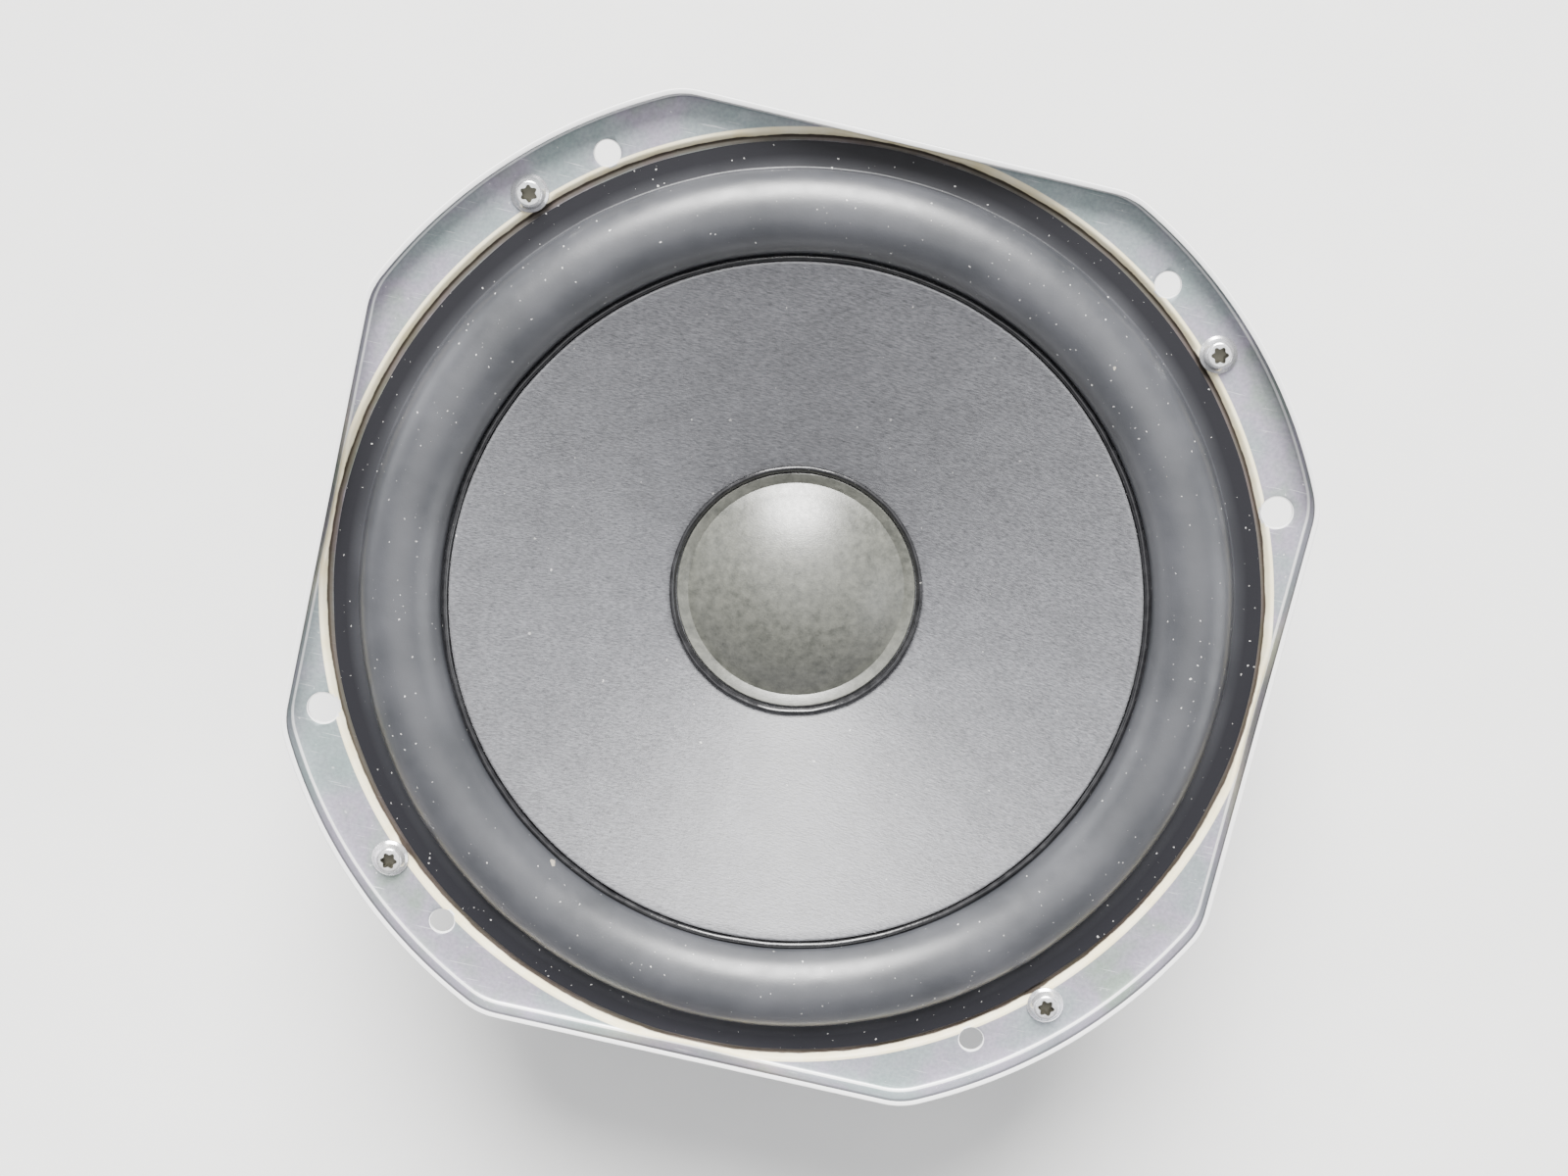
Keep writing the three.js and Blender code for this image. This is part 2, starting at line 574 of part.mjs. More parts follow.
// A flat landing on the ledge, a half roll, and a lip under the edge of the cone.
function surround() {
  const landing = LEDGE_HEIGHT + FILM + RUBBER_WALL;
  const lipStart = lipFront(ROLL_INNER_RADIUS);
  const lipEnd = ROLL_INNER_RADIUS - SURROUND_LIP;
  const middle = (LANDING_INNER_RADIUS + ROLL_INNER_RADIUS) / 2;
  const half = (LANDING_INNER_RADIUS - ROLL_INNER_RADIUS) / 2;
  const front = [[LANDING_OUTER_RADIUS, landing]];
  for (let i = 0; i <= ROLL_STEPS; i += 1) {
    const angle = (Math.PI * i) / ROLL_STEPS;
    const base = THREE.MathUtils.lerp(landing, lipStart, i / ROLL_STEPS);
    front.push([middle + half * Math.cos(angle), base + ROLL_HEIGHT * Math.sin(angle)]);
  }
  front.push([lipEnd, lipFront(lipEnd)]);
  return turned(sheetOutline(front, RUBBER_WALL), RING_FACETS);
}

// ---- Screws and gasket ----

function screw() {
  const seat = FILM;
  const flange = seat + SCREW_FLANGE_HEIGHT;
  const top = flange + SCREW_HEAD_HEIGHT;
  const outline = [
    [0, -SCREW_LENGTH],
    [SCREW_RADIUS, SCREW_POINT - SCREW_LENGTH],
    [SCREW_RADIUS, seat],
    [SCREW_FLANGE_RADIUS, seat],
    [SCREW_FLANGE_RADIUS, seat + SCREW_FLANGE_HEIGHT / 2],
    [SCREW_HEAD_RADIUS, flange],
    [SCREW_HEAD_RADIUS, top - SCREW_EDGE],
    [SCREW_HEAD_RADIUS - SCREW_EDGE, top],
    [0, top],
  ];
  const lobes = Array.from({ length: 24 }, (_, i) => {
    const angle = (i * Math.PI) / 12;
    const radius = DRIVE_RADIUS - DRIVE_LOBE * (1 - Math.cos(6 * angle));
    return new THREE.Vector2(radius * Math.cos(angle), radius * Math.sin(angle));
  });
  const recess = extruded(new THREE.Shape(lobes), top - DRIVE_DEPTH, top + 1, 1);
  return cut(turned(outline, BORE_FACETS), recess);
}

function addScrews() {
  SCREW_ANGLES.forEach((angle, i) => {
    const one = add(`mounting_screw_${i + 1}`, screw(), BRIGHT_ZINC);
    one.position.set(...onCircle(PITCH_RADIUS, angle), FLANGE_HEIGHT);
    one.rotation.z = THREE.MathUtils.degToRad(angle);
  });
}

function gasket() {
  const top = LEDGE_HEIGHT - SHEET - FILM;
  const inner = LEDGE_INNER_RADIUS + SHEET;
  return ring(inner, STEP_INNER_RADIUS - FILM, top - GASKET_THICKNESS, top, RING_FACETS);
}

// ---- Terminal panel, on the solid part of the wall towards -Y ----

// The panel's frame stands on the outside of the wall: x is level, y runs up the wall and
// z points away from the basket.
function panelFrame() {
  const slope = Math.atan2(SHOULDER_HEIGHT - SHELF_HEIGHT, SHOULDER_RADIUS - SHELF_OUTER_RADIUS);
  const radius = (SHOULDER_RADIUS + SHELF_OUTER_RADIUS) / 2 + SHEET * Math.sin(slope);
  const height = (SHOULDER_HEIGHT + SHELF_HEIGHT) / 2 - SHEET * Math.cos(slope);
  const frame = new THREE.Group();
  frame.position.set(0, -radius, height);
  frame.rotation.x = Math.PI - slope;
  frame.updateMatrix();
  const bend = radius / Math.sin(slope);
  return { frame, fallAway: (x) => bend - Math.sqrt(bend ** 2 - x ** 2) };
}

const PANEL = panelFrame();
const RIVET_SEAT = SHEET + PANEL.fallAway(BOARD_RIVET_X + BOARD_RIVET_HEAD) + FILM;

// What the panel needs cut in the basket: one aperture for the tabs and a hole for each rivet.
function panelCutters() {
  const depth = 4 * SHEET;
  const aperture = new THREE.BoxGeometry(APERTURE_WIDTH, APERTURE_HEIGHT, 2 * depth);
  const radius = BOARD_RIVET_RADIUS + HOLE_CLEARANCE;
  const rivets = [-BOARD_RIVET_X, BOARD_RIVET_X].map((x) => bar(radius, -depth, depth, x, 0));
  return [aperture, ...rivets].map((one) => one.applyMatrix4(PANEL.frame.matrix));
}

function terminalBoard() {
  const blank = new THREE.BoxGeometry(BOARD_WIDTH, BOARD_HEIGHT, BOARD_THICKNESS);
  blank.translate(0, 0, FILM + BOARD_THICKNESS / 2);
  const depth = 4 * BOARD_THICKNESS;
  const slots = Object.values(TAB_WIDTHS).map((width, i) => {
    const slot = new THREE.BoxGeometry(width + 2 * FILM, TAB_THICKNESS + 2 * FILM, depth);
    return slot.translate(tabX(i), 0, 0);
  });
  const radius = BOARD_RIVET_RADIUS + HOLE_CLEARANCE;
  const holes = [-BOARD_RIVET_X, BOARD_RIVET_X].map((x) => bar(radius, -depth, depth, x, 0));
  return cut(blank, ...slots, ...holes);
}

function tabX(index) {
  return (index - 0.5) * TAB_SPACING;
}

// A tang through the board, a foot along it and a blade that stands away from it.
function terminalTab(width) {
  const half = TAB_THICKNESS / 2;
  const face = 2 * FILM + BOARD_THICKNESS;
  const end = -(SHEET + TAB_TANG);
  const blade = face + TAB_THICKNESS + TAB_BLADE;
  const corners = [
    [half, end],
    [half, face + TAB_THICKNESS],
    [half - TAB_FOOT, face + TAB_THICKNESS],
    [half - TAB_FOOT, blade],
    [half - TAB_FOOT - TAB_THICKNESS, blade],
    [half - TAB_FOOT - TAB_THICKNESS, face],
    [-half, face],
    [-half, end],
  ];
  const shape = new THREE.Shape(corners.map(([y, z]) => new THREE.Vector2(y, z)));
  const bent = extruded(shape, -width / 2, width / 2, 1);
  return bent.rotateX(Math.PI / 2).rotateZ(Math.PI / 2);
}

// A rivet with a head on each side: through the board and the wall of the basket.
function boardRivet() {
  const face = 2 * FILM + BOARD_THICKNESS;
  const outline = [
    [0, -RIVET_SEAT - BOARD_RIVET_HEAD_HEIGHT],
    [BOARD_RIVET_HEAD, -RIVET_SEAT - BOARD_RIVET_HEAD_HEIGHT],
    [BOARD_RIVET_HEAD, -RIVET_SEAT],
    [BOARD_RIVET_RADIUS, -RIVET_SEAT],
    [BOARD_RIVET_RADIUS, face],
    [BOARD_RIVET_HEAD, face],
    [BOARD_RIVET_HEAD, face + BOARD_RIVET_HEAD_HEIGHT],
    [0, face + BOARD_RIVET_HEAD_HEIGHT],
  ];
  return turned(outline, BORE_FACETS);
}

// A braided lead with some slack, from the tang of a tab to the collar of the voice coil.
function lead(index) {
  const side = index === 0 ? -1 : 1;
  const inwards = -(SHEET + TAB_TANG + FILM);
  const start = new THREE.Vector3(tabX(index), 0, inwards).applyMatrix4(PANEL.frame.matrix);
  const leaving = new THREE.Vector3(tabX(index), 0, inwards - LEAD_STRAIGHT);
  leaving.applyMatrix4(PANEL.frame.matrix);
  const landing = THREE.MathUtils.degToRad(270 + side * LEAD_LANDING);
  const middleHeight = (SPIDER_HEIGHT + NECK_HEIGHT) / 2;
  const nearCollar = (gap, height) => {
    const radius = COLLAR_OUTSIDE + gap;
    return new THREE.Vector3(radius * Math.cos(landing), radius * Math.sin(landing), height);
  };
  const end = nearCollar(FILM, middleHeight);
  const arriving = nearCollar(FILM + LEAD_STRAIGHT, middleHeight);
  const halfway = leaving.clone().lerp(arriving, 0.5);
  halfway.x += side * LEAD_BOW;
  halfway.z -= LEAD_RADIUS;
  const route = new THREE.CatmullRomCurve3([start, leaving, halfway, arriving, end]);
  const section = new THREE.Shape();
  section.absarc(0, 0, LEAD_RADIUS, 0, 2 * Math.PI);
  const options = { steps: LEAD_STEPS, curveSegments: LEAD_SIDES / 2, extrudePath: route };
  return welded(new THREE.ExtrudeGeometry(section, options));
}

function addTerminals() {
  const { frame } = PANEL;
  speaker.add(frame);
  add('terminal_board', terminalBoard(), PHENOLIC, frame);
  Object.entries(TAB_WIDTHS).forEach(([name, width], i) => {
    add(name, terminalTab(width), TINNED_BRASS, frame).position.x = tabX(i);
    add(`tinsel_lead_${i + 1}`, lead(i), TINSEL);
  });
  [-BOARD_RIVET_X, BOARD_RIVET_X].forEach((x, i) => {
    add(`board_rivet_${i + 1}`, boardRivet(), TINNED_BRASS, frame).position.x = x;
  });
}

// ---- The whole speaker ----

add('basket', basket(), ZINC);
addMotor();
addVoiceCoil();
add('spider', spider(), SPIDER_CLOTH);
add('cone', cone(), PAPER);
add('dust_cap', dustCap(), CAP_FIBRE);
add('dust_cap_bead', capBead(), BLACK_GLUE);
add('surround', surround(), RUBBER);
add('cone_edge_bead', edgeBead(), BLACK_GLUE);
add('mounting_gasket', gasket(), FOAM);
addScrews();
addTerminals();

export default speaker;
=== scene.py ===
# %% [markdown]
# # A ten-inch car subwoofer
# A paper cone hangs in a pressed steel basket by a rubber surround in front and a corrugated cloth
# spider behind. A coil on the neck of the cone moves in the gap of a ring magnet. The solid model gives
# each piece its place and size. Here each piece gets its real shape, and a finish made of nodes.

import math

import bmesh
import bpy
import numpy as np
from mathutils import Matrix, Vector


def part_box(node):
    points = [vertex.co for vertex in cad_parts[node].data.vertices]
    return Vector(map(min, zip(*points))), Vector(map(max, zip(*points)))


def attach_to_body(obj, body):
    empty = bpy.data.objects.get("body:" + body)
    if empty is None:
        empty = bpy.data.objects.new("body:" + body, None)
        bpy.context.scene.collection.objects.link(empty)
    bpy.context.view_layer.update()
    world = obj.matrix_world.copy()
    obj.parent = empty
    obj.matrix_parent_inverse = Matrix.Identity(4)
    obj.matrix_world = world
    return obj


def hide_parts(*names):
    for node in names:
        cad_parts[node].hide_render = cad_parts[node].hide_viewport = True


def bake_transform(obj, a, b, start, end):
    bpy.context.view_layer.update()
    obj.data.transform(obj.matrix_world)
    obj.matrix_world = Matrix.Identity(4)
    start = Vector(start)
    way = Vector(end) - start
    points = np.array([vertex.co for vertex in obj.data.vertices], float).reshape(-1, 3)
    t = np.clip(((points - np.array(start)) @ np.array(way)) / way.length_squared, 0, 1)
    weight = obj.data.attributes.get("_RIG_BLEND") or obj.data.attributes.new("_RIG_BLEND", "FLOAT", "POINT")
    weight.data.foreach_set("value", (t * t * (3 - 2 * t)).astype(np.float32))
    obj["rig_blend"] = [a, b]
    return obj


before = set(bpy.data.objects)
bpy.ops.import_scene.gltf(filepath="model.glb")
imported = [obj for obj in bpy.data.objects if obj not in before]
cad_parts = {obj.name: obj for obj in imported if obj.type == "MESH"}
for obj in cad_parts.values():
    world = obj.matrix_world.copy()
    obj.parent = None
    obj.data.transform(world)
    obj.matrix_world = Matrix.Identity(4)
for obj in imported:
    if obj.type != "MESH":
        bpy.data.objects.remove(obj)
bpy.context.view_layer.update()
MM = 0.001

# %% [markdown]
# ## Camera, floor and light
# The camera stands about 600 mm in front of the flange, a little above the axis as the speaker hangs,
# and is rolled about 13 degrees. Its three axes are given as they are, because a tracked target would lose
# the roll. The main light is a large soft window above the top edge of the view, so the roll of the
# surround has a soft highlight on its upper side only. A wide weak light from in front fills the shadow
# of the lip, and two weak ones show the sides. They are all far away, so the floor is evenly lit.

# %% Camera
CAMERA_PLACE = Vector((-0.02573, 0.12314, 0.68401))
CAMERA_RIGHT = Vector((0.97404, 0.22617, -0.00925))
CAMERA_UP = Vector((-0.22354, 0.95468, -0.19650))
camera_data = bpy.data.cameras.new("camera")
camera_data.lens = 58.64
camera_data.sensor_width = 36.0
camera_data.clip_start = 0.01
camera = bpy.data.objects.new("camera", camera_data)
bpy.context.scene.collection.objects.link(camera)
axes = Matrix((CAMERA_RIGHT, CAMERA_UP, CAMERA_RIGHT.cross(CAMERA_UP))).transposed()
camera.matrix_world = Matrix.Translation(CAMERA_PLACE) @ axes.to_4x4()
bpy.context.scene.camera = camera
print("camera at", tuple(round(v, 3) for v in CAMERA_PLACE))


# %% Lights
def soft_light(name, place, width, power, colour=(1.0, 1.0, 1.0)):
    """A far soft light as wide as `width` degrees, from `place` towards the middle of the floor."""
    data = bpy.data.lights.new(name, "SUN")
    data.angle = math.radians(width)
    data.energy = power
    data.color = colour
    light = bpy.data.objects.new(name, data)
    light.location = place
    light.rotation_euler = (-Vector(place)).to_track_quat("-Z", "Y").to_euler()
    bpy.context.scene.collection.objects.link(light)
    return light


soft_light("window_light", (-0.23, 1.00, 0.84), 36.0, 14.4, (1.0, 0.99, 0.97))
soft_light("front_light", (0.0, 0.20, 1.0), 70.0, 1.7)
soft_light("right_light", (1.1, -0.05, 0.50), 34.0, 0.9, (0.96, 0.98, 1.0))
soft_light("left_light", (-1.15, 0.15, 0.35), 34.0, 0.8, (0.96, 0.98, 1.0))
print("lights:", len(bpy.data.lights))

# %% [markdown]
# ## Small tools for nodes
# Shader trees and geometry trees are both lists of nodes and links, so one helper adds a node to either.
# An input is a plain value, or the output of an earlier node. A value that is the same all over a
# surface goes straight onto the shader's own socket.


# %% Node helpers
def step(tree, kind, inputs=None, **settings):
    """Adds one node. Each input is a value, or a socket or node to link to."""
    node = tree.nodes.new(kind)
    for key, value in settings.items():
        setattr(node, key, value)
    for key, value in (inputs or {}).items():
        source = value.outputs[0] if isinstance(value, bpy.types.Node) else value
        if isinstance(source, bpy.types.NodeSocket):
            tree.links.new(source, node.inputs[key])
        else:
            node.inputs[key].default_value = source
    return node


def arithmetic(tree, operation, *values):
    return step(tree, "ShaderNodeMath", dict(enumerate(values)), operation=operation).outputs[0]


def times(tree, first, *others):
    """The product of two or more values."""
    for value in others:
        first = arithmetic(tree, "MULTIPLY", first, value)
    return first


def stored(tree, name):
    """A number stored on the points of a piece."""
    return step(tree, "ShaderNodeAttribute", attribute_name=name).outputs["Fac"]


def grain(tree, size, detail=3.0, roughness=0.55, stretch=(1.0, 1.0, 1.0), turn=0.0, where=None):
    """Noise whose features are about `size` millimetres across, in the piece's own space."""
    place = where or step(tree, "ShaderNodeTexCoord").outputs["Object"]
    turned_place = step(tree, "ShaderNodeMapping", {
        "Vector": place, "Rotation": (0.0, 0.0, math.radians(turn)), "Scale": stretch})
    noise = step(tree, "ShaderNodeTexNoise", {
        "Vector": turned_place, "Scale": 1.0 / (size * MM), "Detail": detail, "Roughness": roughness})
    return noise.outputs[0]


def specks(tree, size, share):
    """Scattered specks with ragged outlines: up to 1 inside a speck and 0 elsewhere."""
    place = step(tree, "ShaderNodeTexCoord").outputs["Object"]
    ragged = step(tree, "ShaderNodeTexNoise", {"Vector": place, "Scale": 2.6 / (size * MM), "Detail": 1.0})
    place = step(tree, "ShaderNodeVectorMath", {
        0: ragged.outputs["Color"], 1: (0.5 * size * MM,) * 3, 2: place}, operation="MULTIPLY_ADD")
    cells = step(tree, "ShaderNodeTexVoronoi", {"Vector": place, "Scale": 1.0 / (size * MM)})
    chosen = step(tree, "ShaderNodeSeparateColor", {"Color": cells.outputs["Color"]}).outputs
    reach = arithmetic(tree, "LESS_THAN", chosen[0], share)
    width = arithmetic(tree, "MULTIPLY_ADD", arithmetic(tree, "POWER", chosen[1], 3.0), 0.15, 0.04)
    inside = arithmetic(tree, "LESS_THAN", cells.outputs["Distance"], width)
    return times(tree, reach, inside, arithmetic(tree, "MULTIPLY_ADD", chosen[2], 0.6, 0.35))


def ramp(tree, factor, stops):
    """A colour for each factor; each stop is (factor, colour), and a grey may be one number."""
    node = step(tree, "ShaderNodeValToRGB", {"Fac": factor})
    elements = node.color_ramp.elements
    while len(elements) < len(stops):
        elements.new(0.5)
    for element, (position, colour) in zip(elements, stops):
        element.position = position
        grey = not isinstance(colour, tuple)
        element.color = (colour,) * 3 + (1.0,) if grey else colour + (1.0,)
    return node.outputs["Color"]


def layer(tree, factor, below, above, mode="MIX"):
    """Puts one colour over another; each is a socket or a plain colour."""
    colours = [v + (1.0,) if isinstance(v, tuple) else v for v in (below, above)]
    node = step(tree, "ShaderNodeMix", {0: factor, 6: colours[0], 7: colours[1]},
                data_type="RGBA", blend_type=mode)
    return node.outputs[2]


def relief(tree, height, depth, strength=1.0, under=None):
    """A bump of `depth` millimetres, laid over another one if there is one."""
    inputs = {"Height": height, "Distance": depth * MM, "Strength": strength}
    if under:
        inputs["Normal"] = under
    return step(tree, "ShaderNodeBump", inputs).outputs["Normal"]


def new_finish(name, metallic=0.0, roughness=0.5, **fixed):
    """An empty finish: its tree and its shader, with the values that don't vary."""
    material = bpy.data.materials.new(name + "_finish")
    material.use_nodes = True
    shader = material.node_tree.nodes["Principled BSDF"]
    shader.inputs["Metallic"].default_value = metallic
    shader.inputs["Roughness"].default_value = roughness
    for key, value in fixed.items():
        shader.inputs[key.replace("_", " ")].default_value = value
    return material, material.node_tree, shader


def attach(tree, shader, **sockets):
    for key, source in sockets.items():
        tree.links.new(source, shader.inputs[key.replace("_", " ")])


# %% [markdown]
# ## Sky
# The sky is a ramp on the height of the direction looked at. Its bright band lights the low views and
# hides the edge of the floor, and its dark top keeps the colours deep when the speaker faces up.


# %% Sky
def pale_sky():
    """A sky that is bright round the horizon, dim above it and dark overhead."""
    world = bpy.data.worlds.new("pale_sky")
    world.use_nodes = True
    tree = world.node_tree
    up = step(tree, "ShaderNodeSeparateXYZ", {0: step(tree, "ShaderNodeTexCoord").outputs["Generated"]})
    sky = ramp(tree, up.outputs["Z"], [(0.10, (0.92, 0.92, 0.93)), (0.30, (0.11, 0.11, 0.12)),
                                       (0.70, (0.12, 0.12, 0.13)), (0.93, (0.01, 0.01, 0.012))])
    background = tree.nodes["Background"]
    background.inputs["Strength"].default_value = 2.0
    tree.links.new(sky, background.inputs["Color"])
    return world


bpy.context.scene.world = pale_sky()
print("sky:", bpy.context.scene.world.name)

# %% [markdown]
# ## Small tools for shapes
# Most pieces of a speaker are turned or pressed round one axis. A piece is then an outline in radius and
# height, with its corners rounded, turned in fine steps. Blender has a Screw modifier for this, but a
# mesh made in code keeps each row of points known, so a radius can be made to wander where hand work
# does. Outlines are in millimetres and become metres once, when the mesh is made.


# %% Outline helpers
def rounded(corners, steps=4, closed=True):
    """Rounds the corners of a line; each is (x, y) or (x, y, radius)."""
    points = []
    count = len(corners)
    for i, corner in enumerate(corners):
        here = Vector(corner[:2])
        end = not closed and i in (0, count - 1)
        if len(corner) < 3 or corner[2] <= 0 or end:
            points.append(tuple(here))
            continue
        before = (Vector(corners[i - 1][:2]) - here).normalized()
        after = (Vector(corners[(i + 1) % count][:2]) - here).normalized()
        half = before.angle(after) / 2
        reach = corner[2] / math.tan(half)
        centre = here + (before + after).normalized() * (corner[2] / math.sin(half))
        start = here + before * reach - centre
        sweep = math.pi - 2 * half
        side = 1.0 if before.cross(after) < 0 else -1.0
        for k in range(steps + 1):
            turn = Matrix.Rotation(side * sweep * k / steps, 2)
            points.append(tuple(centre + turn @ start))
    return points


def offset_line(points, distance):
    """A line beside another, to the left of its direction."""
    line = [Vector(p[:2]) for p in points]
    normals = []
    for a, b in zip(line, line[1:]):
        along = (b - a).normalized()
        normals.append(Vector((-along.y, along.x)))
    moved = []
    for i, point in enumerate(line):
        before, after = normals[max(i - 1, 0)], normals[min(i, len(normals) - 1)]
        mitre = (before + after).normalized()
        moved.append(tuple(point + mitre * (distance / mitre.dot(after))))
    return moved


def ring_points(x, radius, count=28, y=0.0):
    turns_round = np.arange(count) * 2 * math.pi / count
    return [(x + radius * math.cos(a), y + radius * math.sin(a)) for a in turns_round]


def ripple(angle, amount, seed):
    """A smooth uneven wave round a circle, as a hand or a worn tool leaves."""
    source = np.random.default_rng(seed)
    total = np.zeros_like(angle)
    for beats in (2, 3, 5, 7, 11, 17, 23, 37):
        total += np.sin(beats * angle + source.uniform(0, 2 * math.pi)) * source.uniform(0.3, 1.0)
    return amount * total / 3.0


# %% Mesh helpers
def make_piece(name, points, faces, *finishes, sharp=40.0):
    """A smooth-shaded piece from points in millimetres, with an edge where faces turn sharply."""
    mesh = bpy.data.meshes.new(name)
    mesh.from_pydata([(x * MM, y * MM, z * MM) for x, y, z in points], [], faces)
    for finish in finishes:
        mesh.materials.append(finish)
    mesh.shade_smooth()
    mesh.set_sharp_from_angle(angle=math.radians(sharp))
    piece = bpy.data.objects.new(name, mesh)
    bpy.context.scene.collection.objects.link(piece)
    return piece


def grid_faces(rows, columns, loop):
    """Faces of a grid that closes round the columns, and round the rows too if it loops."""
    faces = []
    for i in range(rows if loop else rows - 1):
        for j in range(columns):
            a, b = i * columns, ((i + 1) % rows) * columns
            faces.append((a + j, a + (j + 1) % columns, b + (j + 1) % columns, b + j))
    return faces


def turned(name, outline, *finishes, columns=256, shape=None, sharp=40.0):
    """Turns a closed outline of (radius, height) about the axis. `shape` may move the points."""
    line = np.array(outline, float)
    following = np.roll(line, -1, axis=0)
    if np.sum(line[:, 0] * following[:, 1] - following[:, 0] * line[:, 1]) < 0:
        line = line[::-1]
    angle = np.arange(columns) * 2 * math.pi / columns
    radius = np.repeat(line[:, :1], columns, axis=1)
    height = np.repeat(line[:, 1:], columns, axis=1)
    if shape:
        radius, height = shape(radius, height, angle)
    points = np.stack([radius * np.cos(angle), radius * np.sin(angle), height], axis=2).reshape(-1, 3)
    piece = make_piece(name, points, grid_faces(len(line), columns, True), *finishes, sharp=sharp)
    if line[:, 0].min() < 1e-6:
        close_poles(piece)
    return piece


def close_poles(piece):
    """Merges the points that meet on the axis."""
    shell = bmesh.new()
    shell.from_mesh(piece.data)
    bmesh.ops.remove_doubles(shell, verts=shell.verts, dist=1e-7)
    bmesh.ops.dissolve_degenerate(shell, edges=shell.edges, dist=1e-8)
    loose = [edge for edge in shell.edges if not edge.link_faces]
    bmesh.ops.delete(shell, geom=loose, context="EDGES")
    shell.to_mesh(piece.data)
    shell.free()


def evaluated_mesh(drawn):
    """What an object looks like after its modifiers or its curve settings, as a plain mesh."""
    depsgraph = bpy.context.evaluated_depsgraph_get()
    return bpy.data.meshes.new_from_object(drawn.evaluated_get(depsgraph), depsgraph=depsgraph)


def settle(piece):
    """Turns what the piece's modifiers make into a plain mesh, and removes them."""
    mesh = evaluated_mesh(piece)
    piece.modifiers.clear()
    piece.data = mesh
    return piece


def slide(piece, x, y, z):
    """Moves a piece in its mesh, by millimetres."""
    piece.data.transform(Matrix.Translation((x * MM, y * MM, z * MM)))


def points_of(piece):
    """x, y and z of every point, in millimetres."""
    place = np.empty(len(piece.data.vertices) * 3)
    piece.data.vertices.foreach_get("co", place)
    return place.reshape(-1, 3).T / MM


def store(piece, name, values):
    """Stores one number on each point, for a finish, a tree or a blend."""
    attributes = piece.data.attributes
    column = attributes.get(name) or attributes.new(name, "FLOAT", "POINT")
    column.data.foreach_set("value", np.asarray(values, np.float32))


def stand_in(piece, nodes, body=None):
    """Hides the nodes that a finished piece stands for, and sets it on the body it rides on."""
    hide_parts(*nodes)
    if body:
        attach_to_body(piece, body)
    piece.data.calc_loop_triangles()
    print(piece.name, "has", len(piece.data.loop_triangles), "triangles")


# %% Geometry Nodes helpers
def new_tree(name, inputs):
    """A geometry tree with named inputs; returns the tree and its input node."""
    tree = bpy.data.node_groups.new(name, "GeometryNodeTree")
    tree.interface.new_socket("Geometry", in_out="INPUT", socket_type="NodeSocketGeometry")
    for label, kind in inputs.items():
        tree.interface.new_socket(label, in_out="INPUT", socket_type="NodeSocket" + kind)
    tree.interface.new_socket("Geometry", in_out="OUTPUT", socket_type="NodeSocketGeometry")
    return tree, tree.nodes.new("NodeGroupInput")


def end_tree(tree, geometry, material):
    """Every tree ends alike: instances made real, and the finish set."""
    real = step(tree, "GeometryNodeRealizeInstances", {"Geometry": geometry})
    finished = step(tree, "GeometryNodeSetMaterial", {"Geometry": real, "Material": material})
    step(tree, "NodeGroupOutput", {"Geometry": finished})


def upwards(tree, amount):
    """A vector along the axis: a shift upwards, or a turn round the axis."""
    return step(tree, "ShaderNodeCombineXYZ", {"Z": amount})


def swept(tree, path, sides, radius):
    """A closed tube with a few sides along a path."""
    section = step(tree, "GeometryNodeCurvePrimitiveCircle", {"Resolution": sides, "Radius": radius})
    return step(tree, "GeometryNodeCurveToMesh", {
        "Curve": path, "Profile Curve": section, "Fill Caps": True})


def grow(piece, tree, **values):
    """Runs a tree on a piece; a value is set by its input's identifier."""
    modifier = piece.modifiers.new(tree.name, "NODES")
    modifier.node_group = tree
    identifiers = {item.name: item.identifier for item in tree.interface.items_tree
                   if item.in_out == "INPUT"}
    for key, value in values.items():
        modifier[identifiers[key.replace("_", " ")]] = value
    return piece


# %% [markdown]
# ## Finish: zinc-plated steel
# Clear passivated zinc is a soft grey that shifts between blue, green and violet in large clouds, with
# a fine crystal grain, short thin scratches and dust. Where the sheet is bent over the step, the
# plating has yellowed, and a painted cream highlight stands for the light the bend catches; painted
# brown shade lies at its foot, painted shade on the lip's wall and a painted highlight along the lip's
# foot. A colour ramp on broad noise gives the clouds, noise stretched thirty-six to one gives scratches,
# and the step's tint and painted light are painted on the points as attributes, because they follow the
# shape and no noise could. So is the painted shade inside a screw's recess.


# %% Zinc-plated steel
def scratch_lines(tree):
    """Short thin bright lines in three directions."""
    lines = [ramp(tree, grain(tree, 11.0, 1.0, 0.4, (1.0, 36.0, 8.0), turn), [(0.75, 0.0), (0.80, 0.8)])
             for turn in (20.0, -55.0, 78.0)]
    return arithmetic(tree, "MAXIMUM", arithmetic(tree, "MAXIMUM", lines[0], lines[1]), lines[2])


